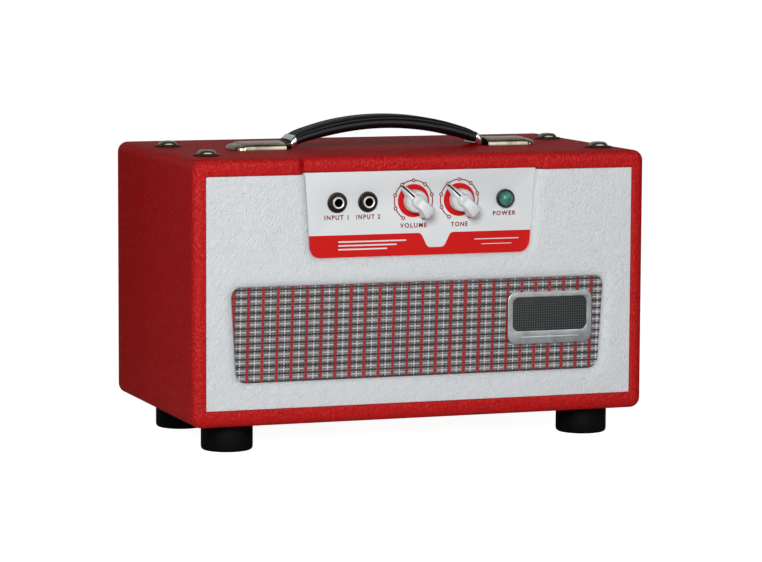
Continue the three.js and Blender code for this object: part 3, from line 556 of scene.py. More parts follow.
def ground_cloth_material():
    """Close weave of black and white yarns, coloured yarn by yarn to match the raised weave."""
    s = Shader("grille_weave")
    split = s.add("ShaderNodeSeparateXYZ", {0: s.position})
    u = s.math("MULTIPLY_ADD", split.outputs["Z"], -LEAN, split.outputs["X"])
    across = s.math("PINGPONG", s.math("DIVIDE", u, YARN * MM), 1.0)
    along = s.math("PINGPONG", s.math("DIVIDE", split.outputs["Z"], YARN * MM), 1.0)
    check = s.math("MULTIPLY_ADD", across, 0.5, s.math("MULTIPLY", along, 0.5))
    fuzz = s.noise(1 / (0.4 * MM), 3, 0.7)
    blotch = s.noise(1 / (5 * MM), 2)
    yarn_tone = s.math("MULTIPLY_ADD", check, 0.8, s.math("MULTIPLY", fuzz, 0.5))
    tone = s.math("ADD", yarn_tone, s.math("MULTIPLY", blotch, 0.1))
    s.set(Base_Color=s.blend(s.level(tone, 0.35, 0.95), (0.014, 0.012, 0.014), (0.29, 0.28, 0.285)))
    s.set(Roughness=s.level(fuzz, 0.3, 0.7, 0.7, 0.9), Normal=s.bump(tone, 0.8, 0.2 * MM))
    return s.material


def jewel_material():
    s = Shader("green_jewel")
    swirl = s.noise(1 / (2.5 * MM), 3)
    s.set(Base_Color=s.blend(s.level(swirl, 0.3, 0.7), rgb(28, 104, 88), rgb(84, 160, 140)))
    s.set(Roughness=s.level(swirl, 0.3, 0.7, 0.24, 0.34), Transmission_Weight=0.2, IOR=1.5)
    s.set(Normal=s.bump(swirl, 0.3, 0.05 * MM))
    return s.material


def glass_material():
    s = Shader("clear_glass")
    ripple = s.noise(1 / (6 * MM), 2)
    s.set(Base_Color=s.blend(ripple, (0.90, 0.93, 0.93), (0.97, 0.99, 0.98)))
    s.set(Roughness=s.level(ripple, 0.3, 0.7, 0.01, 0.05), Transmission_Weight=0.9, IOR=1.47)
    s.set(Normal=s.bump(ripple, 0.2, 0.05 * MM))
    return s.material


def iron_material():
    """Stacked laminations: fine lines across the stack, with a varnished brown sheen."""
    s = Shader("transformer_iron")
    layers = s.add("ShaderNodeTexWave", {"Vector": s.position, "Scale": 260.0, "Distortion": 0.4})
    layers.bands_direction = "Y"
    rust = s.noise(1 / (7 * MM), 5, 0.7)
    tone = s.math("MULTIPLY_ADD", layers.outputs["Fac"], 0.3, s.math("MULTIPLY", rust, 0.6))
    s.set(Base_Color=s.blend(tone, (0.02, 0.018, 0.016), (0.10, 0.08, 0.06)), Metallic=0.6)
    s.set(Roughness=s.level(rust, 0.3, 0.7, 0.35, 0.6))
    s.set(Normal=s.bump(layers.outputs["Fac"], 0.6, 0.15 * MM))
    return s.material


def board_material():
    s = Shader("board_laminate")
    weave = s.noise(1 / (0.8 * MM), 3, 0.6)
    cloud = s.noise(1 / (14 * MM), 3)
    s.set(Base_Color=s.blend(cloud, (0.10, 0.07, 0.03), (0.20, 0.14, 0.06)))
    s.set(Roughness=s.level(weave, 0.3, 0.7, 0.4, 0.6), Normal=s.bump(weave, 0.3, 0.05 * MM))
    return s.material


LINE_HALF = 0.66
YARN = 1.24
LEAN = 0.0245

RED_VINYL = grained_vinyl(
    "red_vinyl", rgb(180, 2, 3), rgb(208, 5, 5), 1.8, 0.72, 0.5, 2.2, 0.40, 0.30
)
WHITE_VINYL = grained_vinyl(
    "white_vinyl", rgb(223, 228, 231), rgb(236, 240, 243), 1.6, 0.66, -0.6, 2.1, 0.50, 0.16
)
PLATE = plate_material()
PRINT_RED = print_material("print_red", rgb(204, 14, 12), rgb(218, 26, 22))
PRINT_DARK_RED = print_material("print_dark_red", rgb(124, 8, 18), rgb(144, 14, 24))
PRINT_WHITE = print_material("print_white", rgb(226, 228, 230), rgb(236, 238, 240))
GROUND = ground_cloth_material()
THREAD_RED = thread_material("thread_red", rgb(130, 12, 16), rgb(196, 30, 34))
THREAD_BLACK = thread_material("thread_black", (0.008, 0.008, 0.008), (0.03, 0.03, 0.03))
THREAD_WHITE = thread_material("thread_white", rgb(180, 180, 180), rgb(222, 222, 222))
THREAD_PALE = thread_material("thread_pale", rgb(96, 94, 96), rgb(150, 148, 150))
WOOD = bare_wood_material()
RUBBER = rubber_material()
STRAP = strap_material()
NICKEL = metal("nickel", rgb(112, 105, 90), rgb(168, 159, 140), 0.22, (1.0, 1.0, 1.0), 0.16)
DARK_NICKEL = metal("dark_nickel", rgb(74, 68, 60), rgb(128, 120, 108), 0.22)
CHROME = metal("chrome_band", rgb(196, 198, 200), rgb(226, 228, 230), 0.10, (1.0, 1.0, 1.0), 0.06)
BLACK_NICKEL = metal("black_nickel", rgb(20, 19, 19), rgb(62, 58, 55), 0.24)
SATIN_CHROME = metal("satin_chrome", rgb(232, 226, 216), rgb(246, 242, 236), 0.42, (1.0, 1.0, 1.0), 0.06)
BADGE_SILVER = metal("badge_silver", rgb(150, 154, 156), rgb(192, 196, 198), 0.40, (1.0, 1.0, 1.0), 0.08)
WIRE_SILVER = metal("wire_silver", rgb(62, 65, 66), rgb(98, 101, 102), 0.45, (1.0, 1.0, 1.0), 0.08)
STEEL = metal("chassis_steel", rgb(120, 124, 128), rgb(170, 174, 178), 0.42, (0.05, 1.0, 1.0), 0.2)
CAN = metal("can_aluminium", rgb(150, 153, 156), rgb(196, 198, 200), 0.36, (1.0, 1.0, 0.05), 0.16)
BLACK = smooth_plastic("black_plastic", (0.002, 0.002, 0.002), (0.010, 0.010, 0.010), 0.36)
JEWEL = jewel_material()
GLASS = glass_material()
IRON = iron_material()
BOARD = board_material()

SLOT_MATERIAL = {
    "red_vinyl": RED_VINYL,
    "white_vinyl": WHITE_VINYL,
    "white_plate": PLATE,
    "grille_weave": GROUND,
    "bare_wood": WOOD,
    "foot_rubber": RUBBER,
    "strap_vinyl": STRAP,
    "nickel": NICKEL,
    "chrome_band": CHROME,
    "chassis_steel": STEEL,
    "can_aluminium": CAN,
    "black_plastic": BLACK,
    "green_jewel": JEWEL,
    "clear_glass": GLASS,
    "transformer_iron": IRON,
    "board_laminate": BOARD,
}

# ---- cabinet

EDGE_ROLL = 7.0
REAR_ROLL = 4.6
CEILING_END = 12
LINING_FROM = 14
LINING_TO = 200
CLEAT_T = 12
CLEAT_FROM = 192.8
INNER_R = 0.8
OUTER_R = 8.4
INNER_HALF = WIDTH / 2 - SIDE_T
INNER_TOP = HEIGHT - TOP_T


def ease(u):
    u = min(max(u, 0.0), 1.0)
    return u * u * (3 - 2 * u)


def cutback(x):
    """How far the top board's front edge is set back at x."""
    return CUTBACK * ease((CUTBACK_HALF + CUTBACK_FLARE - abs(x)) / CUTBACK_FLARE)


def ceiling(x):
    """Underside of the top board's front edge, which rises a little over the panel."""
    return INNER_TOP + (PANEL_TOP - INNER_TOP) * ease((PANEL_HALF_TOP + 2.2 - abs(x)) / 1.2)


def cabinet_covering():
    stations = []
    corner_steps = 8
    top_run = [176, 160, 140, 124, 114, 109]
    top_run += [CUTBACK_HALF + CUTBACK_FLARE - CUTBACK_FLARE * k / 12 for k in range(13)]
    top_run += [94, 88, 76, 60, 40, 20, 0]
    top_run = top_run + [-x for x in reversed(top_run[:-1])]
    side_run = [190, 170, 140, 110, 80, 50, 30, 18]

    def corner(sx, sz, start):
        for k in range(corner_steps + 1):
            t = math.radians(start + 90 * k / corner_steps)
            stations.append(("corner", sx, sz, math.cos(t), math.sin(t)))

    corner(1, 1, 0)
    stations.extend(("top", x) for x in top_run)
    corner(-1, 1, 90)
    stations.extend(("side", -1, z) for z in side_run)
    corner(-1, -1, 180)
    stations.extend(("base", x) for x in (-170, -120, -60, 0, 60, 120, 170))
    corner(1, -1, 270)
    stations.extend(("side", 1, z) for z in reversed(side_run))

    def outer(station, inset):
        if station[0] == "corner":
            _, sx, sz, c, s = station
            mid = HEIGHT - OUTER_R if sz > 0 else OUTER_R
            return sx * (WIDTH / 2 - OUTER_R) + (OUTER_R - inset) * c, mid + (OUTER_R - inset) * s
        if station[0] == "side":
            return station[1] * (WIDTH / 2 - inset), station[2]
        return station[1], (HEIGHT - inset if station[0] == "top" else inset)

    def inner(station, outset):
        if station[0] == "corner":
            _, sx, sz, c, s = station
            mid = INNER_TOP - INNER_R if sz > 0 else BASE_T + INNER_R
            return sx * (INNER_HALF - INNER_R) + (INNER_R + outset) * c, mid + (INNER_R + outset) * s
        if station[0] == "side":
            return station[1] * (INNER_HALF + outset), station[2]
        x = station[1]
        return x, (ceiling(x) + outset if station[0] == "top" else BASE_T - outset)

    def profile(station):
        d = cutback(station[1]) if station[0] == "top" else 0.0
        out = []
        for k in range(11):
            t = math.pi / 2 * k / 10
            x, z = outer(station, EDGE_ROLL * (1 - math.cos(t)))
            out.append((x, d + EDGE_ROLL * (1 - math.sin(t)), z))
        for k in range(5):
            t = math.pi / 2 * k / 4
            x, z = inner(station, LIP_R * (1 - math.sin(t)))
            out.append((x, d + LIP_R * (1 - math.cos(t)), z))
        x, z = inner(station, 0)
        out.append((x, CEILING_END, z))
        if station[0] == "top":
            z = INNER_TOP
        out.append((x, LINING_FROM, z))
        out.append((x, LINING_TO, z))
        for k in range(4, -1, -1):
            t = math.pi / 2 * k / 4
            x, z = inner(station, LIP_R * (1 - math.sin(t)))
            if station[0] == "top":
                z = INNER_TOP + LIP_R * (1 - math.sin(t))
            out.append((x, DEPTH - LIP_R * (1 - math.cos(t)), z))
        for k in range(6, -1, -1):
            t = math.pi / 2 * k / 6
            x, z = outer(station, REAR_ROLL * (1 - math.cos(t)))
            out.append((x, DEPTH - REAR_ROLL * (1 - math.sin(t)), z))
        x, z = outer(station, 0)
        out.append((x, DEPTH * 0.5, z))
        return out

    rows = [profile(s) for s in stations]
    points = [p for row in rows for p in row]
    columns = len(rows[0])
    faces = grid_faces(len(rows), columns, True, True)
    piece = mesh_object("cabinet_covering", points, faces, 50)
    bare_from, bare_to = LINING_FROM - 1, LINING_TO - 1
    piece.data.materials.append(RED_VINYL)
    piece.data.materials.append(WOOD)
    for face in piece.data.polygons:
        mid = local(face.center)
        deep = bare_from < mid.y < bare_to
        inside = abs(mid.x) < WIDTH / 2 - 2 and 2 < mid.z < HEIGHT - 2
        face.material_index = 1 if deep and inside else 0
    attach(piece, "root")
    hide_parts("cabinet_shell")
    for side in (-1, 1):
        x0, x1 = sorted((side * INNER_HALF, side * (INNER_HALF - CLEAT_T)))
        low = (x0, CLEAT_FROM, BASE_T + 0.1)
        high = (x1, CLEAT_FROM + CLEAT_T, 120)
        strip = block("rear_cleat_" + ("left" if side < 0 else "right"), low, high, 0.8)
        finish_piece(strip, WOOD, "root", ["cabinet_shell"])


def half_at(z, half_top, half_bottom, bottom, top):
    return half_bottom + (half_top - half_bottom) * (z - bottom) / (top - bottom)


def quadratic(a, b, c, steps):
    out = []
    for k in range(steps + 1):
        t = k / steps
        out.append(tuple((1 - t) ** 2 * a[i] + 2 * t * (1 - t) * b[i] + t * t * c[i] for i in (0, 1)))
    return out


def offset_path(path, amount, closed):
    """A path moved to its right side by amount."""
    out = []
    count = len(path)
    for i, (x, z) in enumerate(path):
        before = path[(i - 1) % count] if closed or i > 0 else path[i]
        after = path[(i + 1) % count] if closed or i < count - 1 else path[i]
        dx, dz = after[0] - before[0], after[1] - before[1]
        length = math.hypot(dx, dz)
        out.append((x + dz / length * amount, z - dx / length * amount))
    return out


def grille_path(steps=10):
    """The grille opening's outline, anticlockwise seen from the front."""
    args = (GRILLE_HALF_TOP, GRILLE_HALF_BOTTOM, GRILLE_BOTTOM, GRILLE_TOP)
    low, high = GRILLE_BOTTOM + CORNER_R, GRILLE_TOP - CORNER_R
    a, b = half_at(low, *args), half_at(high, *args)
    out = []
    spread = [k / 6 for k in range(1, 6)]
    x0, x1 = -(GRILLE_HALF_BOTTOM - CORNER_R), GRILLE_HALF_BOTTOM - CORNER_R
    out += [(x0 + (x1 - x0) * k, GRILLE_BOTTOM) for k in spread]
    out += quadratic(
        (GRILLE_HALF_BOTTOM - CORNER_R, GRILLE_BOTTOM), (GRILLE_HALF_BOTTOM, GRILLE_BOTTOM), (a, low), steps
    )
    out += quadratic(
        (b, high), (GRILLE_HALF_TOP, GRILLE_TOP), (GRILLE_HALF_TOP - CORNER_R, GRILLE_TOP), steps
    )
    out += [((GRILLE_HALF_TOP - CORNER_R) * (1 - 2 * k), GRILLE_TOP) for k in spread]
    out += quadratic(
        (-(GRILLE_HALF_TOP - CORNER_R), GRILLE_TOP), (-GRILLE_HALF_TOP, GRILLE_TOP), (-b, high), steps
    )
    foot_end = (-(GRILLE_HALF_BOTTOM - CORNER_R), GRILLE_BOTTOM)
    out += quadratic((-a, low), (-GRILLE_HALF_BOTTOM, GRILLE_BOTTOM), foot_end, steps)
    return out


BOARD_TOP = INNER_TOP - 0.2


def panel_path(outset, steps=10):
    """The panel opening's outline from its left top end down, along and up to its right top end."""
    args = (PANEL_HALF_TOP, PANEL_HALF_BOTTOM, PANEL_BOTTOM, PANEL_TOP)
    low = PANEL_BOTTOM + CORNER_R
    lean = (PANEL_HALF_TOP - PANEL_HALF_BOTTOM) / (PANEL_TOP - PANEL_BOTTOM)
    right = [(k * (PANEL_HALF_BOTTOM - CORNER_R) / 4, PANEL_BOTTOM) for k in range(4)]
    corner = (PANEL_HALF_BOTTOM, PANEL_BOTTOM)
    start, end = (PANEL_HALF_BOTTOM - CORNER_R, PANEL_BOTTOM), (half_at(low, *args), low)
    right += quadratic(start, corner, end, steps)
    right += [(half_at(z, *args), z) for z in (155, 175, BOARD_TOP)]
    path = [(-x, z) for x, z in reversed(right[1:])] + right
    moved = offset_path(path, outset, False)
    end = half_at(BOARD_TOP, *args) + outset * math.hypot(1, lean)
    moved[0] = (-end, BOARD_TOP)
    moved[-1] = (end, BOARD_TOP)
    return moved


def baffle_covering():
    """The white board: a flat face whose two openings have soft walls rolling inward."""
    face_depth, rear = 2.0, 8.0
    half = INNER_HALF - 0.2
    foot = BASE_T + 0.2
    roll = []
    for k in range(11):
        t = WALL_TURN * k / 10
        run = SLOPE_RUN * (1 - math.sin(t) / math.sin(WALL_TURN))
        roll.append((run, face_depth + WALL_DEPTH * (1 - math.cos(t))))
    roll.append((0.0, rear))
    points, faces = [], []

    def wall(make_loop, closed):
        rows = [[(x, d, z) for x, z in make_loop(e)] for e, d in roll]
        start = len(points)
        for row in rows:
            points.extend(row)
        count = len(rows[0])
        faces.extend(grid_faces(len(rows), count, False, closed, start))
        first = list(range(start, start + count))
        last = list(range(start + (len(rows) - 1) * count, start + len(rows) * count))
        return first, last

    hole = grille_path()
    hole_first, hole_last = wall(lambda e: offset_path(hole, e, True), True)
    notch_first, notch_last = wall(panel_path, False)
    outline = [(-half, BOARD_TOP), (-half, foot), (half, foot), (half, BOARD_TOP)]
    corner_front = []
    corner_rear = []
    for x, z in outline:
        points.append((x, face_depth, z))
        corner_front.append(len(points) - 1)
        points.append((x, rear, z))
        corner_rear.append(len(points) - 1)
    for ring, notch, hole_ring in (
        (corner_front, notch_first, hole_first),
        (corner_rear, notch_last, hole_last),
    ):
        boundary = ring + list(reversed(notch))
        flat = [
            [Vector((points[i][0], points[i][2], 0)) for i in boundary],
            [Vector((points[i][0], points[i][2], 0)) for i in hole_ring],
        ]
        index = boundary + hole_ring
        faces.extend(tuple(index[i] for i in tri) for tri in tessellate_polygon(flat))
    for a, b in ((0, 1), (1, 2), (2, 3)):
        faces.append((corner_front[a], corner_front[b], corner_rear[b], corner_rear[a]))
    columns = len(panel_path(0))
    rows = len(roll)
    left_column = [notch_first[0] + r * columns for r in range(rows)]
    right_column = [notch_first[-1] + r * columns for r in range(rows)]
    faces.append(tuple([corner_front[0], *left_column, corner_rear[0]]))
    faces.append(tuple([corner_front[3], *right_column, corner_rear[3]]))
    piece = mesh_object("baffle_covering", points, faces, 60)
    finish_piece(piece, WHITE_VINYL, "root", ["front_baffle"])


# ---- front panel

PLATE_FRONT = local(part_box("faceplate")[0]).y
CONTROL_Z = local(centre("volume_shaft")).z
JACKS = [local(centre("input_jack_washer_1")).x, local(centre("input_jack_washer_2")).x]
DIALS = [local(centre("volume_shaft")).x, local(centre("tone_shaft")).x]
PILOT_X = local(centre("pilot_lamp_holder")).x
INK_FRONT = PLATE_FRONT - 0.12
INK_T = 0.1


def circle(cx, cz, radius, steps=48):
    return arc(cx, cz, radius, 0, 360, steps)[:-1]


def faceplate_sheet():
    low, high = (local(p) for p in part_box("faceplate"))
    outline = rounded_loop(low.x, high.x, low.z, high.z, 1.5, 4)
    holes = [circle(x, CONTROL_Z, 5.05) for x in JACKS + DIALS] + [circle(PILOT_X, CONTROL_Z, 7.0)]
    sheet = plate("faceplate_sheet", [outline, *holes], low.y, high.y - low.y, 0.15, 1)
    finish_piece(sheet, PLATE, "root", ["faceplate"])


def arc_band(cx, cz, inner, outer, start, end, steps):
    return arc(cx, cz, outer, start, end, steps) + arc(cx, cz, inner, end, start, steps)


def lettering(name, text, x, z, width, height, spacing=1.15):
    """Generic control label as thin raised ink, fitted to a width and height."""
    curve = bpy.data.curves.new(name, "FONT")
    curve.body = text
    curve.space_character = spacing
    curve.offset = 0.03
    curve.resolution_u = 4
    curve.extrude = 0.5
    mesh = drawn_mesh(name, curve)
    xs = [v.co.x for v in mesh.vertices]
    ys = [v.co.y for v in mesh.vertices]
    scale_x = width * MM / (max(xs) - min(xs))
    scale_y = height * MM / (max(ys) - min(ys))
    mid_x, mid_y = (max(xs) + min(xs)) / 2, (max(ys) + min(ys)) / 2
    for v in mesh.vertices:
        u, w, t = v.co
        depth = INK_FRONT + INK_T * (0.5 - t)
        v.co = place(x, depth, z) + Vector(((u - mid_x) * scale_x, 0, (w - mid_y) * scale_y))
    face_outward(mesh, 1e-7)
    return linked(name, mesh)


def band_outline():
    """The panel's lower coloured band, its top edge dipping into a plain tab."""
    x0, x1 = -98.0, 98.0
    top, low, dip = 147.6, 126.8, 136.0
    mid, wide, narrow = 13.0, 12.8, 6.6
    right = quadratic((mid + wide + 2.2, top), (mid + wide, top), (mid + wide - 1.2, top - 2.0), 6)
    right += quadratic((mid + narrow + 1.4, dip + 2.2), (mid + narrow, dip), (mid + narrow - 2.6, dip), 8)
    left = [(2 * mid - x, z) for x, z in reversed(right)]
    return [(x0, low), (x1, low), (x1, top)] + right + left + [(x0, top)]


def panel_print():
    inks = [plate("ink_band", [band_outline()], INK_FRONT, INK_T)]
    for x in DIALS:
        ring = [circle(x, CONTROL_Z, 13.2, 72), circle(x, CONTROL_Z, 8.4, 60)]
        inks.append(plate("ink_ring", ring, INK_FRONT, INK_T))
    finish_piece(joined("panel_print_red", inks), PRINT_RED, "root")
    lines = []
    dial_r, dot_r, line = 16.1, 1.55, 0.42
    first, step, count = -148, 37, 9
    gap = math.degrees(dot_r / dial_r) * 0.9
    for x in DIALS:
        for k in range(count):
            turn = 90 - (first + step * k)
            cx = x + dial_r * math.cos(math.radians(turn))
            cz = CONTROL_Z + dial_r * math.sin(math.radians(turn))
            dot = [circle(cx, cz, dot_r, 24), circle(cx, cz, dot_r - 0.75, 20)]
            lines.append(plate("ink_dot", dot, INK_FRONT, INK_T))
            if k < count - 1:
                loop = arc_band(x, CONTROL_Z, dial_r - line, dial_r + line, turn - gap, turn - step + gap, 10)
                lines.append(plate("ink_arc", [loop], INK_FRONT, INK_T))
    labels = (
        ("INPUT 1", JACKS[0] - 0.5, 161.6, 20.0),
        ("INPUT 2", JACKS[1] + 0.5, 161.6, 20.0),
        ("VOLUME", DIALS[0], 153.8, 22.6),
        ("TONE", DIALS[1] + 0.2, 153.8, 14.2),
        ("POWER", PILOT_X - 0.2, 161.6, 19.6),
    )
    for text, x, z, width in labels:
        lines.append(lettering("ink_label", text, x, z, width, 3.7, 1.3))
    finish_piece(joined("panel_print_lines", lines), PRINT_DARK_RED, "root")
    stripes = []
    front = INK_FRONT - INK_T - 0.02
    for x0, x1, z, thick in (
        (-69.0, -12.0, 142.2, 1.1),
        (-69.0, -20.0, 139.2, 1.1),
        (-69.0, -28.0, 136.2, 1.1),
        (46.0, 84.0, 141.4, 0.7),
        (52.0, 78.0, 137.4, 0.5),
    ):
        loop = rounded_loop(x0, x1, z - thick / 2, z + thick / 2, thick * 0.49, 4)
        stripes.append(plate("ink_stripe", [loop], front, INK_T))
    finish_piece(joined("panel_print_stripes", stripes), PRINT_WHITE, "root")


# ---- grille


def woven_ground():
    """The cloth itself: over-and-under yarns as relief on a thin sheet."""
    low, high = (local(p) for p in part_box("grille_cloth"))
    step = YARN / 2.5
    columns = int((high.x - low.x) / step) + 1
    rows = int((high.z - low.z) / step) + 1
    crest = 0.16
    points = []
    for j in range(rows):
        z = low.z + (high.z - low.z) * j / (rows - 1)
        for i in range(columns):
            x = low.x + (high.x - low.x) * i / (columns - 1)
            a = math.pi * (x - LEAN * z) / YARN
            b = math.pi * z / YARN
            over = 0.5 + 0.5 * math.sin(a) * math.sin(b)
            points.append((x, low.y + crest * (1 - over), z))
    faces = grid_faces(rows, columns)
    back = len(points)
    edge = list(range(columns))
    edge += [j * columns + columns - 1 for j in range(1, rows)]
    edge += [(rows - 1) * columns + i for i in range(columns - 2, -1, -1)]
    edge += [j * columns for j in range(rows - 2, 0, -1)]
    for k in edge:
        x, _, z = points[k]
        points.append((x, high.y, z))
    count = len(edge)
    for k in range(count):
        n = (k + 1) % count
        faces.append((edge[k], edge[n], back + n, back + k))
    faces.append(tuple(range(back, back + count)))
    piece = mesh_object("grille_ground_weave", points, faces, 80)
    finish_piece(piece, GROUND, "root", ["grille_cloth"])


def thread(start, end, wide, tall, wave, phase, samples):
    """One raised yarn lying on the cloth: a flat half-round rod that rises and dips along its way.
    Returns points and faces."""
    (x0, z0), (x1, z1) = start, end
    length = math.hypot(x1 - x0, z1 - z0)
    dx, dz = (x1 - x0) / length, (z1 - z0) / length
    section = [(-1.0, 0.0), (-0.7, 0.75), (0.0, 1.0), (0.7, 0.75), (1.0, 0.0)]
    base = PLATE_FRONT + 0.1
    points, faces = [], []
    for k in range(samples + 1):
        along = length * k / samples
        lift = 0.72 + 0.28 * math.sin(math.tau * along / wave + phase)
        swell = 1.0 + 0.10 * math.sin(math.tau * along / (wave * 0.5) + phase * 1.7)
        for u, w in section:
            x = x0 + dx * along - dz * u * wide / 2 * swell
            z = z0 + dz * along + dx * u * wide / 2 * swell
            points.append((x, base - (0.1 + tall * w * lift), z))
    width = len(section)
    faces.extend(grid_faces(samples + 1, width, False, True))
    faces.append(tuple(range(width)))
    faces.append(tuple(range(samples * width, samples * width + width)))
    return points, faces


def yarns(name, runs, material):
    points, faces = [], []
    for run in runs:
        more, quads = thread(*run)
        start = len(points)
        points.extend(more)
        faces.extend(tuple(start + i for i in quad) for quad in quads)
    piece = mesh_object(name, points, faces, 60)
    finish_piece(piece, material, "root")


COLUMN_PITCH = 12.11
ROW_PITCH = 6.03


def grille_threads():
    low, high = GRILLE_BOTTOM - 3, GRILLE_TOP + 3
    left, right = -GRILLE_HALF_TOP - 3, GRILLE_HALF_TOP + 3
    middle = (GRILLE_BOTTOM + GRILLE_TOP) / 2
    first_column = -GRILLE_HALF_BOTTOM - 2.1
    columns = [first_column + COLUMN_PITCH * k for k in range(-1, 27)]
    rows = [GRILLE_TOP - 2.4 - ROW_PITCH * k for k in range(-1, 14)]

    def lean(z):
        return (z - middle) * LEAN

    red, black, white, pale = [], [], [], []
    for i, x in enumerate(columns):
        if left < x < right:
            ends = (x + lean(low), low), (x + lean(high), high)
            red.append((*ends, 2.25, 0.24, ROW_PITCH, 0.4 + i, 160))
        mid = x + COLUMN_PITCH / 2
        if left + 4 < mid < right - 4:
            for j, z in enumerate(rows):
                centre_z = z - ROW_PITCH / 2
                if low < centre_z < high:
                    at = mid + lean(centre_z)
                    tall = ROW_PITCH * 0.40
                    reach = COLUMN_PITCH * 0.36
                    cross = (at, centre_z - tall), (at, centre_z + tall)
                    white.append((*cross, 0.95, 0.16, ROW_PITCH, 1.0 + i + j, 10))
                    bar = (at - reach, centre_z), (at + reach, centre_z)
                    white.append((*bar, 0.85, 0.15, 2.48, 0.5 * i + j, 28))
                    for side in (-0.24, 0.24):
                        up = at + COLUMN_PITCH * side
                        tick = (up, centre_z - tall * 0.8), (up, centre_z + tall * 0.8)
                        pale.append((*tick, 0.6, 0.12, 1.24, i + j, 8))
    for j, z in enumerate(rows):
        if low < z < high:
            black.append(((left, z), (right, z), 1.5, 0.34, COLUMN_PITCH, 0.7 * j, 400))
    yarns("grille_threads_red", red, THREAD_RED)
    yarns("grille_threads_black", black, THREAD_BLACK)
    yarns("grille_threads_white", white, THREAD_WHITE)
    yarns("grille_threads_pale", pale, THREAD_PALE)


BADGE_FIELD = (79, 143, 66, 93)
WIRE_PITCH = 2.0
WIRE_HALF = 0.24
WIRE_T = 0.3


def badge_pieces():
    """Plain framed nameplate: a bright rim and lower bar round a dark wire field."""
    low, high = (local(p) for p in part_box("badge"))
    outer = rounded_loop(low.x, high.x, low.z, high.z, 7, 8)
    x0, x1, z0, z1 = BADGE_FIELD
    field = rounded_loop(x0, x1, z0, z1, 5, 8)
    frame_piece = plate("badge_rim", [outer, field], low.y + 0.35, 1.25, 0.5, 3)
    bar = plate("badge_bar", [rounded_loop(86, 136, 59.8, 61.6, 0.9, 5)], low.y, 0.9, 0.3, 2)
    finish_piece(joined("badge_frame", [frame_piece, bar]), BADGE_SILVER, "root", ["badge"])
    back = plate("badge_back", [outer], low.y + 1.62, high.y - low.y - 1.62, 0.1, 1)
    finish_piece(back, BLACK, "root", ["badge"])
    front = low.y + 1.0
    wires = []
    for k in range(int((x1 - x0) / WIRE_PITCH)):
        x = x0 + WIRE_PITCH * (k + 0.5)
        trim = 1.5 if x < x0 + 3 or x > x1 - 3 else 0.2
        loop = rounded_loop(x - WIRE_HALF, x + WIRE_HALF, z0 + trim, z1 - trim, 0.2, 1)
        wires.append(plate("wire", [loop], front, WIRE_T))
    for k in range(int((z1 - z0) / WIRE_PITCH)):
        z = z0 + WIRE_PITCH * (k + 0.75)
        trim = 1.5 if z < z0 + 2 or z > z1 - 2 else 0.2
        loop = rounded_loop(x0 + trim, x1 - trim, z - WIRE_HALF, z + WIRE_HALF, 0.2, 1)
        wires.append(plate("wire", [loop], front + WIRE_T, WIRE_T))
    finish_piece(joined("badge_wire_field", wires), WIRE_SILVER, "root", ["badge"])


# ---- small turned fittings


NUT_FLATS = 12.7
# Radius inside which the bushing's bore is painted black as shade.
PAINTED_SHADE_BORE_R = 3.3


def input_jack(index, x):
    at = Vector((x, 0, CONTROL_Z))
    number = index + 1
    low = local(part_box(f"input_jack_{number}")[0])
    mouth = low.y
    dish = [(5.0, 8.0), (8.2, 8.0), (8.2, 7.65), (7.8, 7.3), (7.1, 7.22), (5.9, 7.5), (5.0, 7.5)]
    washer = turned(f"jack_washer_{number}", dish, at)
    finish_piece(washer, BLACK, "root", [f"input_jack_washer_{number}"])
    corners = []
    reach = NUT_FLATS / math.sqrt(3)
    for k in range(6):
        t = math.tau * k / 6 + 0.35 * index
        corners.append((x + reach * math.cos(t), CONTROL_Z + reach * math.sin(t)))
    nut = plate(f"jack_nut_{number}", [corners, circle(x, CONTROL_Z, 5.0)], 4.9, 2.1, 0.4, 3)
    finish_piece(nut, BLACK_NICKEL, "root", [f"input_jack_nut_{number}"])
    thread_rings = []
    for k in range(5):
        d = mouth + 0.9 + 0.5 * k
        thread_rings += [(4.74, d), (4.55, d + 0.25)]
    profile = [(3.25, 11.2), (3.25, mouth + 0.6), (3.45, mouth + 0.2), (3.8, mouth), (4.3, mouth)]
    profile += [(4.7, mouth + 0.35)]
    profile += thread_rings + [(4.7, mouth + 3.5), (4.7, 11.2)]
    bushing = turned(f"jack_bushing_{number}", profile, at, sharp=25)
    finish_piece(bushing, SATIN_CHROME, "root", [f"input_jack_{number}"])
    # Faces inside the bore take black plastic in place of chrome: painted shade down the hole.
    bushing.data.materials.append(BLACK)
    for face in bushing.data.polygons:
        mid = local(face.center)
        face.material_index = 1 if math.hypot(mid.x - x, mid.z - CONTROL_Z) < PAINTED_SHADE_BORE_R else 0
    body = block(f"jack_body_{number}", (x - 9, 11.3, CONTROL_Z - 9), (x + 9, 33.3, CONTROL_Z + 9), 1.4)
    bore = turned("bore", [(0, 11), (3.2, 11), (3.2, 34), (0, 34)], at, segments=32)
    subtract(body, bore)
    tidy_normals(body)
    finish_piece(body, BLACK, "root", [f"input_jack_{number}"])


KNOB_TURN = math.radians(44)
KNOB_BASE = local(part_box("volume_knob")[1]).y


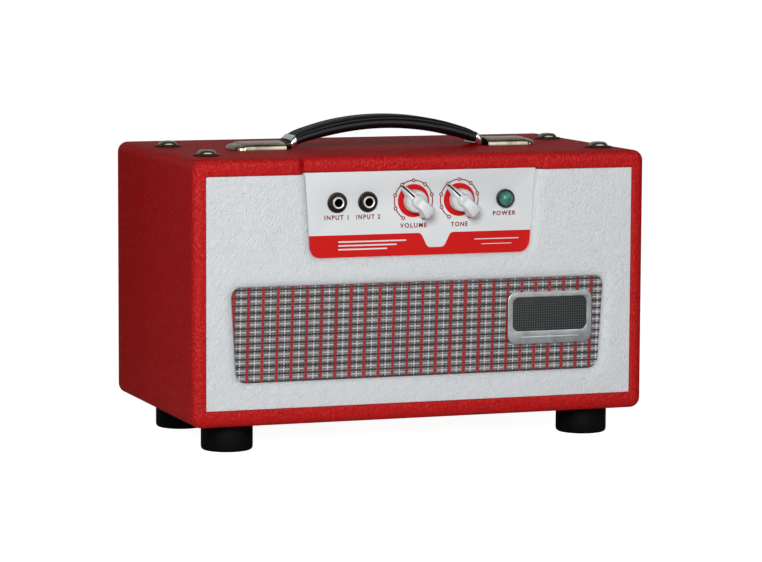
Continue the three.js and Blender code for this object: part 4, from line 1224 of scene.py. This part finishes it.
def knob(name, node, x, body):
    """Pointer knob: a skirt and hub under a fin, low and narrow at the nose, tall and square at the tail."""
    stations = [
        (17.0, 0.5, 5.0), (16.7, 0.8, 5.5), (16.0, 1.05, 6.0), (13.5, 1.7, 7.2), (11.0, 2.3, 8.3),
        (8.5, 2.9, 9.4), (6.0, 3.4, 10.5), (3.5, 3.9, 11.5), (1.5, 4.2, 12.2), (-0.5, 4.3, 13.0),
        (-2.5, 4.25, 13.9), (-4.5, 4.25, 14.8), (-6.5, 4.4, 15.4), (-8.5, 4.6, 15.7), (-10.5, 4.85, 15.7),
        (-12.3, 5.05, 15.3), (-13.5, 4.95, 14.8), (-14.2, 4.5, 14.1), (-14.7, 3.6, 13.1),
    ]
    foot = 2.8
    points = []
    across = Vector((math.cos(KNOB_TURN), 0, math.sin(KNOB_TURN)))
    ahead = Vector((-math.sin(KNOB_TURN), 0, math.cos(KNOB_TURN)))
    pivot = Vector((x, 0, CONTROL_Z))
    for v, a, h in stations:
        r = min(a * 0.85, 1.6)
        flare = a + (0.9 if v > 0 else 0.3)
        outline = arc(a - r, h - r, r, 0, 90, 4) + arc(-(a - r), h - r, r, 90, 180, 4)
        outline = [(flare, foot)] + outline + [(-flare, foot)]
        for u, w in outline:
            p = pivot + across * u + ahead * v
            points.append((p.x, KNOB_BASE - w, p.z))
    width = 12
    faces = grid_faces(len(stations), width, False, True)
    faces.append(tuple(range(width)))
    faces.append(tuple(range((len(stations) - 1) * width, len(stations) * width)))
    fin = mesh_object("fin", points, faces)
    at = Vector((x, KNOB_BASE, CONTROL_Z))
    rise = [(0, 0), (8.9, 0), (9.15, -0.3), (9.1, -4.0), (8.95, -6.6), (8.6, -7.8), (7.9, -8.5)]
    rise += [(6.8, -8.9), (4.0, -9.3), (0, -9.5)]
    base = turned("base", rise, at, segments=64)
    crown = [(0, -7), (5.4, -7), (5.3, -11.0), (4.9, -12.1), (3.6, -12.8), (0, -13.1)]
    hub = turned("hub", crown, at, segments=48)
    whole = joined(name, [base, hub, fin])
    fillet = whole.modifiers.new("fillet", "REMESH")
    fillet.mode = "VOXEL"
    fillet.voxel_size = 0.26 * MM
    soften = whole.modifiers.new("soften", "SMOOTH")
    soften.factor = 0.6
    soften.iterations = 5
    apply_modifiers(whole)
    subtract(whole, turned("bore", [(0, 1), (3.45, 1), (3.45, -8.9), (0, -8.9)], at))
    whole.data.name = name
    shade(whole.data, 50)
    material = knob_material(name + "_plastic", place(x, 0, CONTROL_Z), KNOB_TURN)
    finish_piece(whole, material, body, [node])


def pilot_lamp():
    at = Vector((PILOT_X, 0, CONTROL_Z))
    rear = PLATE_FRONT - 0.2
    mouth = rear - 3.4
    profile = [(5.5, rear + 22), (5.5, rear - 1.3), (6.12, rear - 1.3), (6.12, mouth + 0.5)]
    profile += [(6.35, mouth + 0.1), (6.8, mouth), (7.2, mouth + 0.25), (7.4, mouth + 0.8), (7.4, rear)]
    profile += [(6.7, rear), (6.7, rear + 22)]
    bezel = turned("pilot_bezel", profile, at, segments=64)
    finish_piece(bezel, BLACK, "root", ["pilot_lamp_holder"])
    seat = rear - 1.7
    rings = [(6.0, seat, 0), (6.0, seat - 1.8, 0), (5.2, seat - 3.4, 0.5), (3.8, seat - 4.7, 0)]
    rings += [(2.0, seat - 5.5, 0.5)]
    count = 12
    points, faces = [], []
    points.append((at.x, seat, at.z))
    for radius, depth, shift in rings:
        for k in range(count):
            t = math.tau * (k + shift) / count
            points.append((at.x + radius * math.cos(t), depth, at.z + radius * math.sin(t)))
    points.append((at.x, seat - 5.75, at.z))
    for k in range(count):
        n = (k + 1) % count
        faces.append((0, 1 + k, 1 + n))
        faces.append((1 + k, 1 + n, 1 + count + n, 1 + count + k))
        for r, shifted in ((1, True), (2, False), (3, True)):
            a, b = 1 + r * count, 1 + (r + 1) * count
            if shifted:
                faces.append((a + k, a + n, b + k))
                faces.append((a + n, b + n, b + k))
            else:
                faces.append((a + k, a + n, b + n))
                faces.append((a + k, b + n, b + k))
        faces.append((1 + 4 * count + k, 1 + 4 * count + n, len(points) - 1))
    lens = mesh_object("pilot_jewel", points, faces, 4)
    finish_piece(lens, JEWEL, "root", ["pilot_lens"])


# ---- feet and top screws


CORNERS = ("front_left", "front_right", "rear_left", "rear_right")
DOME_TALL = 4.8


def feet():
    for corner in CORNERS:
        node = f"foot_{corner}"
        mid = local(centre(node))
        low = local(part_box(node)[0]).z
        at = Vector((mid.x, mid.y, low))
        tall = -0.2 - low
        profile = [(0, tall), (20.3, tall), (20.6, tall - 0.5), (20.6, 2.8), (20.4, 1.7), (19.9, 0.8)]
        profile += [(19.0, 0.2), (18.0, 0)]
        profile += [(7.2, 0), (6.4, 0.4), (6.1, 1.2), (6.0, 12.5), (2.2, 12.5), (0, 12.5)]
        rubber = turned(f"rubber_{corner}", profile, at, "z", 64, 40)
        finish_piece(rubber, RUBBER, "root", [node])
        head = [(0, 12.4), (4.6, 12.4), (5.6, 12.2), (5.6, 11.8), (4.4, 11.7), (4.0, 10.4)]
        head += [(2.4, 9.4), (0, 9.1)]
        screw = turned(f"foot_screw_{corner}", head, at, "z", 32)
        finish_piece(screw, NICKEL, "root", [node])


def cross_cut(x, depth, height, arm, wide, deep, axis="z"):
    """Cutter for a crosspoint recess."""
    bars = []
    for name, half_x, half_other in (("cut_a", arm, wide), ("cut_b", wide, arm)):
        if axis == "z":
            low = (x - half_x, depth - half_other, height - deep)
            high = (x + half_x, depth + half_other, height + 2)
        else:
            low = (x - half_x, depth - deep, height - half_other)
            high = (x + half_x, depth + 2, height + half_other)
        bars.append(block(name, low, high, 0.05, 1))
    return bars


def top_screws():
    for corner in CORNERS:
        node = f"chassis_screw_{corner}"
        mid = local(centre(node))
        at = Vector((mid.x, mid.y, HEIGHT))
        rim = [(0, 0.2), (10.6, 0.2), (11.0, 0.5), (11.0, 0.9), (10.5, 1.25), (9.2, 1.4)]
        rim += [(7.9, 1.7), (0, 1.7)]
        washer = turned(f"top_washer_{corner}", rim, at, "z", 64)
        finish_piece(washer, BLACK, "root", [node])
        dome = [(0, 1.72), (7.5, 1.72), (7.7, 1.95), (7.5, 2.5), (6.8, 3.4), (5.9, 4.15), (4.8, 4.55)]
        dome += [(2.6, 4.75), (0, DOME_TALL)]
        head = turned(f"top_screw_{corner}", dome, at, "z", 64)
        for cutter in cross_cut(mid.x, mid.y, HEIGHT + DOME_TALL, 2.5, 0.55, 1.6):
            subtract(head, cutter)
        tidy_normals(head)
        finish_piece(head, NICKEL, "root", [node])
        shank = [(0, -25.8), (2.2, -25.8), (2.4, -25.4), (2.4, 0.19), (0, 0.19)]
        finish_piece(turned(f"top_shank_{corner}", shank, at, "z", 24), STEEL, "root", [node])


# ---- handle

GRIP_MIDDLE = local(centre("handle_grip"))
HANDLE_DEPTH = GRIP_MIDDLE.y
APEX = 231.0
DROP = 13.0
REACH = 76.0
STRAP_HALF = 13.5
BEND = 2.4
SAG = 1.1
BEND_FROM = 60.0
BEND_RUN = 20.0
FERRULE_IN = 77.4
FERRULE_OUT = 82.4
CAP_MOUTH = 87.0
CAP_INNER = 11.2
TONGUE_MID = HEIGHT + 2.8


def loft(name, sections, sharp=40, ring=False):
    """Skin through equal closed loops of points; the ends are closed unless the skin is a ring."""
    width = len(sections[0])
    points = [p for section in sections for p in section]
    faces = grid_faces(len(sections), width, ring, True)
    if not ring:
        faces.append(tuple(range(width)))
        faces.append(tuple(range((len(sections) - 1) * width, len(sections) * width)))
    return mesh_object(name, points, faces, sharp)


def strap_height(x):
    """Height of the strap's middle: a shallow bow that turns down more steeply at its ends."""
    t = max(abs(x) - BEND_FROM, 0.0) / BEND_RUN
    return APEX - DROP * (x / REACH) ** 2 + BEND * t * t * (1 - t) - SAG * t ** 3


def strap_slope(x):
    t = max(abs(x) - BEND_FROM, 0.0) / BEND_RUN
    turn = (BEND * (2 * t - 3 * t * t) - 3 * SAG * t * t) / BEND_RUN
    return -2 * DROP * x / REACH ** 2 + math.copysign(turn, x)


def strap_tall(x):
    return 11.0 - 2.9 * (x / REACH) ** 4


def strap_loop(x, outline):
    """An outline of (across, up) pairs set square to the strap at x."""
    slope = strap_slope(x)
    length = math.hypot(1, slope)
    z = strap_height(x)
    return [(x - v * slope / length, HANDLE_DEPTH + u, z + v / length) for u, v in outline]


def strap_outline(x, grow=0.0, groove=1.0):
    """Rounded bar section with a lengthwise hollow down each side and two fine lines on its back."""
    half, tall = STRAP_HALF + grow, strap_tall(x) / 2 + grow
    r = min(4.6, tall - 0.4)
    out = []
    flat = [1 - k / 10 for k in range(21)]

    def side(sign):
        for k in range(13):
            v = (-1 + k / 6) * tall * sign
            corner_v = abs(v) - (tall - r)
            pull = r - math.sqrt(max(r * r - corner_v * corner_v, 0)) if corner_v > 0 else 0
            hollow = 1.0 * groove * math.exp(-(((v - 0.9) / 1.1) ** 2))
            out.append((sign * (half - pull - hollow), v))

    side(1)
    for t in flat[1:-1]:
        u = t * (half - r)
        line = 0.45 * groove * math.exp(-(((abs(u) - 6.2) / 0.7) ** 2))
        out.append((u, tall - line + 0.25 * (1 - t * t) - 0.25))
    side(-1)
    for t in flat[1:-1]:
        out.append((-t * (half - r), -tall))
    return out


def handle_strap():
    for place_name, side in (("left", -1), ("right", 1)):
        sections = []
        steps = 44
        for k in range(steps + 1):
            x = side * (0.01 + (FERRULE_IN - 0.06) * k / steps)
            taper = min(1.0, (FERRULE_IN - abs(x)) / 2.0)
            sections.append(strap_loop(x, strap_outline(x, 0.0, taper)))
        strap = loft(f"handle_strap_{place_name}", sections, 50)
        strap.data.materials.append(STRAP)
        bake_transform(strap)
        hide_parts("handle_grip", f"handle_end_{place_name}")
        strap_tongue(place_name, side)
        ferrule(place_name, side)
        handle_cap(place_name, side)


def bar_loop(x, z, half, tall, r, tilt=0.0, steps=4):
    """Upright rounded-rectangle section at x, tilted about the depth axis by a slope."""
    r = min(r, half * 0.98, tall * 0.98)
    out = arc(half - r, tall - r, r, 0, 90, steps) + arc(-(half - r), tall - r, r, 90, 180, steps)
    out += arc(-(half - r), -(tall - r), r, 180, 270, steps) + arc(half - r, -(tall - r), r, 270, 360, steps)
    length = math.hypot(1, tilt)
    return [(x - v * tilt / length, HANDLE_DEPTH + u, z + v / length) for u, v in out]


def strap_tongue(place_name, side):
    sections = []
    for x, half, tall, r in ((77.5, 12.9, 3.5, 3), (79.9, 12.9, 3.3, 3), (82.1, 12.7, 3.1, 3)):
        tilt = strap_slope(side * x)
        sections.append(bar_loop(side * x, strap_height(x), half, tall, r, tilt))
    for x, z, half, tall in (
        (84.0, 213.6, 11.6, 2.4), (86.0, 213.2, 10.7, 1.9), (87.6, 213.0, 10.1, 1.5),
        (89.5, TONGUE_MID, 10, 1.4), (103, TONGUE_MID, 10, 1.4), (118, TONGUE_MID, 10, 1.4),
    ):
        sections.append(bar_loop(side * x, z, half, tall, 1.2))
    tongue = loft(f"strap_tongue_{place_name}", sections, 45)
    x0, x1 = sorted((side * 105, side * 116.2))
    low, high = (x0, HANDLE_DEPTH - 3, TONGUE_MID - 3), (x1, HANDLE_DEPTH + 3, TONGUE_MID + 3)
    cutter = block("slot", low, high, 0.6, 1)
    subtract(tongue, cutter)
    tidy_normals(tongue, 45)
    finish_piece(tongue, STRAP, f"strap_end_{place_name}", [f"handle_end_{place_name}"])


def ferrule(place_name, side):
    """Bright band with rolled edges round the strap's neck."""
    a, b = FERRULE_IN + 0.3, FERRULE_OUT - 0.3
    loops = ((a, 0.25), (a + 0.02, 0.75), (a + 0.35, 0.95), (b - 0.35, 0.95), (b - 0.02, 0.75), (b, 0.25))
    sections = [strap_loop(side * x, strap_outline(x, grow, 0.0)) for x, grow in loops]
    band = loft(f"strap_ferrule_{place_name}", sections, 40, ring=True)
    finish_piece(band, CHROME, f"strap_end_{place_name}", [f"handle_ferrule_{place_name}"])


def handle_cap(place_name, side):
    """Pressed nickel cap: a full dome, open at its mouth, with a lower rounded step at its far end."""
    low = HEIGHT + 0.2
    steps = 24
    sections = []
    for x, tall, half in (
        (87.0, 6.0, 16.7), (87.3, 6.2, 17.0), (95, 6.2, 17.0), (104, 6.2, 17.0), (113, 6.2, 17.0),
        (119.5, 6.2, 17.0), (121.6, 6.0, 17.0), (122.6, 5.4, 16.8), (123.0, 4.3, 16.4), (123.4, 4.1, 16.2),
        (123.9, 4.6, 16.2), (124.9, 4.7, 15.9), (126.3, 4.6, 15.2), (127.7, 4.3, 14.0), (129.0, 3.8, 12.3),
        (130.1, 3.1, 10.0), (130.9, 2.2, 7.2), (131.4, 1.2, 4.0),
    ):
        loop = []
        for k in range(steps + 1):
            t = math.pi * k / steps
            u = half * math.copysign(abs(math.cos(t)) ** 0.85, math.cos(t))
            loop.append((side * x, HANDLE_DEPTH + u, low + tall * math.sin(t) ** 0.62))
        sections.append(loop)
    cap = loft(f"strap_cap_{place_name}", sections, 50)
    x0, x1 = sorted((side * (CAP_MOUTH - 1), side * 120))
    near, far = (x0, HANDLE_DEPTH - CAP_INNER, low - 1), (x1, HANDLE_DEPTH + CAP_INNER, HEIGHT + 4.9)
    subtract(cap, block("hollow", near, far, 0.5, 2))
    stud_profile = [(0, 0.2), (2.2, 0.2), (2.2, 5.2), (0, 5.2)]
    stud = turned("stud", stud_profile, Vector((side * 108, HANDLE_DEPTH, HEIGHT)), "z", 24)
    whole = joined(f"handle_fixing_{place_name}", [cap, stud])
    tidy_normals(whole, 40)
    finish_piece(whole, NICKEL, "root", [f"handle_cap_{place_name}"])


# ---- rear


VENT_HALF = 110
VENT_LOW = 48
SLOT_PITCH_X = 22.0
SLOT_PITCH_Z = 11.0
PANEL_SCREW_DEPTH = DEPTH - 7


def rear_fittings():
    low, high = (local(p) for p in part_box("rear_panel"))
    screws = [
        f"rear_panel_screw_{level}_{side}" for level in ("lower", "upper") for side in ("left", "right")
    ]
    spots = [local(centre(node)) for node in screws]
    vent = rounded_loop(-VENT_HALF, VENT_HALF, VENT_LOW, VENT_LOW + 4 * SLOT_PITCH_Z, 8)
    outline = rounded_loop(low.x, high.x, low.z, high.z, 1.5, 4)
    holes = [circle(p.x, p.z, 2.3, 16) for p in spots]
    panel = plate("rear_board_covering", [outline, vent, *holes], low.y, high.y - low.y, 1.0, 4)
    finish_piece(panel, RED_VINYL, "root", ["rear_panel"])
    low, high = (local(p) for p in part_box("rear_vent_grille"))
    slots = []
    for i in range(10):
        for j in range(4):
            x = -VENT_HALF + (i + 0.5) * SLOT_PITCH_X
            z = VENT_LOW + (j + 0.5) * SLOT_PITCH_Z
            slots.append(rounded_loop(x - 9.2, x + 9.2, z - 3.4, z + 3.4, 3.3, 6))
    guard = plate("vent_guard", [rounded_loop(low.x, high.x, low.z, high.z, 4), *slots], low.y, 1.2, 0.25, 2)
    finish_piece(guard, BLACK, "root", ["rear_vent_grille"])
    for node, spot in zip(screws, spots):
        at = Vector((spot.x, PANEL_SCREW_DEPTH, spot.z))
        profile = [(0, 2.7), (1.8, 2.55), (3.4, 1.9), (4.4, 0.9), (4.6, 0.3), (4.3, 0.2), (1.9, 0.2)]
        profile += [(1.9, -14), (0, -16)]
        head = turned(node.replace("rear_panel", "panel"), profile, at, "y", 40)
        for cutter in cross_cut(spot.x, PANEL_SCREW_DEPTH + 2.7, spot.z, 2.0, 0.45, 1.3, "y"):
            subtract(head, cutter)
        tidy_normals(head)
        finish_piece(head, NICKEL, "root", [node])
    fuse_cap_piece()


def fuse_cap_piece():
    """Screw-in cap with a ribbed rim and a coin slot."""
    mid = local(centre("fuse_cap"))
    face = local(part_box("fuse_cap")[1]).y - 11.6
    segments = 96
    loops = []
    for radius, depth, rib in (
        (4.0, face - 18, 0), (4.0, face + 3.7, 0), (6.9, face + 3.7, 0.22), (6.9, face + 9.6, 0.22),
        (6.5, face + 11.0, 0.12), (5.9, face + 11.6, 0.0), (2.0, face + 11.6, 0.0),
    ):
        ring = []
        for k in range(segments):
            t = math.tau * k / segments
            r = radius + rib * math.cos(24 * t)
            ring.append((mid.x + r * math.cos(t), depth, mid.z + r * math.sin(t)))
        loops.append(ring)
    cap = loft("fuse_cap_ribbed", loops, 35)
    x, z = mid.x, mid.z
    subtract(cap, block("slot", (x - 4.6, face + 10.2, z - 0.7), (x + 4.6, face + 13, z + 0.7), 0.1, 1))
    tidy_normals(cap, 35)
    finish_piece(cap, BLACK, "fuse_cap_turn", ["fuse_cap"])


# ---- tubes and what else the chassis holds


def tube_insides():
    for node in ("power_tube", "preamp_tube_1", "preamp_tube_2"):
        low, high = (local(p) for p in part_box(node))
        mid = (low + high) / 2
        tall = high.z - low.z
        r = (high.x - low.x) / 2
        at = Vector((mid.x, mid.y, low.z))
        lower, upper = 0.32 * tall, 0.78 * tall
        profile = [(0, lower - 1.2), (r * 0.72, lower - 1.2), (r * 0.72, lower), (r * 0.5, lower)]
        profile += [(r * 0.5, upper), (r * 0.72, upper), (r * 0.72, upper + 1.2), (0, upper + 1.2)]
        finish_piece(turned(f"{node}_plates", profile, at, "z", 32), DARK_NICKEL, "root")
        dish = [(0, lower - 5.2), (r * 0.42, lower - 5.2), (r * 0.42, lower - 4.6), (0, lower - 4.6)]
        finish_piece(turned(f"{node}_getter", dish, at, "z", 32), CHROME, "root")


BEVEL_WIDTHS = {"chassis": 0.35, "circuit_board": 0.25, "power_transformer": 0.8, "output_transformer": 0.8}


def carried_nodes():
    """CAD nodes shown as they are: edges rounded and finished by their material slot."""
    slots = {n["node"]: n["material_slot"] for n in node_rows()}
    for name, node in frame["nodes"].items():
        if node.hide_render:
            continue
        node.data.materials.clear()
        node.data.materials.append(SLOT_MATERIAL[slots[name]])
        soften = node.modifiers.new("soft_edges", "BEVEL")
        soften.width = BEVEL_WIDTHS.get(name, 0.4) * MM
        soften.segments = 2
        soften.limit_method = "ANGLE"
        soften.angle_limit = math.radians(40)
        soften.harden_normals = False
        node.data.shade_smooth()
        weights = node.modifiers.new("even_normals", "WEIGHTED_NORMAL")
        weights.keep_sharp = True


def node_rows():
    """All CAD nodes with their material slots."""
    found = []

    def walk(value):
        if isinstance(value, dict):
            if "material_slot" in value and ("node" in value or "name" in value):
                name = value.get("node", value.get("name"))
                found.append({"node": name, "material_slot": value["material_slot"]})
            for inner_value in value.values():
                walk(inner_value)
        elif isinstance(value, list):
            for inner_value in value:
                walk(inner_value)

    walk(frame["record"])
    return found


# ---- build

cabinet_covering()
baffle_covering()
faceplate_sheet()
panel_print()
woven_ground()
grille_threads()
badge_pieces()
for index, jack_x in enumerate(JACKS):
    input_jack(index, jack_x)
knob("volume_pointer_knob", "volume_knob", DIALS[0], "volume_control")
knob("tone_pointer_knob", "tone_knob", DIALS[1], "tone_control")
pilot_lamp()
feet()
top_screws()
handle_strap()
rear_fittings()
tube_insides()
carried_nodes()

# ---- stage, light and camera


def stage_floor():
    size = 40.0
    mesh = bpy.data.meshes.new("floor")
    corners = [(-size, -size, 0), (size, -size, 0), (size, size, 0), (-size, size, 0)]
    mesh.from_pydata(corners, [], [(0, 1, 2, 3)])
    floor = linked("floor", mesh)
    floor.location.z = -0.0002
    s = Shader("floor_paper")
    tooth = s.noise(300, 3)
    s.set(Base_Color=s.blend(tooth, (0.86, 0.86, 0.86), (0.90, 0.90, 0.90)), Roughness=0.9)
    seen = s.add("ShaderNodeLightPath").outputs["Is Camera Ray"]
    s.set(Emission_Color=(1.0, 1.0, 1.0, 1.0), Specular_IOR_Level=0.1)
    s.set(Emission_Strength=s.level(seen, 0.0, 1.0, 0.0, FLOOR_GLOW))
    mesh.materials.append(s.material)


def area_light(name, azimuth, elevation, distance, size, power):
    """Softbox aimed at the amp. Azimuth 0 is straight in front, positive to the right."""
    data = bpy.data.lights.new(name, "AREA")
    data.shape = "RECTANGLE"
    data.size, data.size_y = size
    data.energy = power
    lamp = linked(name, data)
    a, e = math.radians(azimuth), math.radians(elevation)
    aim = Vector((0, 0, 0.12))
    back = Vector((math.sin(a) * math.cos(e), -math.cos(a) * math.cos(e), math.sin(e)))
    lamp.location = aim + back * distance
    lamp.rotation_euler = (-back).to_track_quat("-Z", "Y").to_euler()


FLOOR_GLOW = 0.95
ROOM_LIGHT = 0.06
BACKDROP_SHEEN = 0.4
FRONT_SHEEN = 2.2
KEY_POWER = 43
FILL_POWER = 4


def studio():
    world = bpy.data.worlds.new("studio")
    bpy.context.scene.world = world
    world.use_nodes = True
    nodes, links = world.node_tree.nodes, world.node_tree.links
    background = nodes["Background"]
    ray = nodes.new("ShaderNodeLightPath")
    way = nodes.new("ShaderNodeTexCoord")
    split = nodes.new("ShaderNodeSeparateXYZ")
    links.new(way.outputs["Generated"], split.inputs[0])

    def ramp(value, low, high, to_low, to_high):
        node = nodes.new("ShaderNodeMapRange")
        for key, number in zip(("From Min", "From Max", "To Min", "To Max"), (low, high, to_low, to_high)):
            node.inputs[key].default_value = number
        links.new(value, node.inputs["Value"])
        return node.outputs["Result"]

    def combine(operation, *values):
        node = nodes.new("ShaderNodeMath")
        node.operation = operation
        for socket, value in zip(node.inputs, values):
            links.new(value, socket)
        return node.outputs[0]

    level = ramp(ray.outputs["Is Camera Ray"], 0.0, 1.0, ROOM_LIGHT, 1.0)
    behind = ramp(split.outputs["Y"], 0.15, 0.6, 0.0, BACKDROP_SHEEN)
    ahead = ramp(split.outputs["Y"], -0.3, -0.65, 0.0, FRONT_SHEEN)
    above = ramp(split.outputs["Z"], 0.1, 0.35, 0.0, 1.0)
    canopy = combine("MULTIPLY_ADD", ahead, above, behind)
    mirrored = combine("MULTIPLY", canopy, ray.outputs["Is Glossy Ray"])
    links.new(combine("ADD", level, mirrored), background.inputs["Strength"])
    background.inputs["Color"].default_value = (1, 1, 1, 1)
    area_light("key", -24, 20, 2.6, (0.9, 0.9), KEY_POWER)
    area_light("fill", 30, 10, 3.0, (1.6, 1.2), FILL_POWER)
    scene = bpy.context.scene
    scene.view_settings.view_transform = "Standard"
    scene.view_settings.look = "None"
    scene.view_settings.exposure = 0.0
    scene.view_settings.gamma = 1.0


LENS = 161.1
SENSOR = 36
CAMERA_AT = (-0.9509, -2.6124, 0.4285)
YAW, PITCH, ROLL = 20.04, 6.31, 0.267


def front_camera():
    data = bpy.data.cameras.new("camera")
    data.lens = LENS
    data.sensor_width = SENSOR
    data.clip_start, data.clip_end = 0.05, 100
    camera = linked("camera", data)
    yaw, pitch, roll = (math.radians(angle) for angle in (YAW, PITCH, ROLL))
    ahead = Vector((math.sin(yaw), math.cos(yaw), 0))
    forward = Vector((ahead.x * math.cos(pitch), ahead.y * math.cos(pitch), -math.sin(pitch)))
    level_right = Vector((ahead.y, -ahead.x, 0))
    up = level_right.cross(forward)
    right = level_right * math.cos(roll) + up * math.sin(roll)
    back = -forward
    top = back.cross(right)
    matrix = Matrix((right, top, back)).transposed().to_4x4()
    matrix.translation = Vector(CAMERA_AT)
    camera.matrix_world = matrix
    bpy.context.scene.camera = camera


stage_floor()
studio()
front_camera()
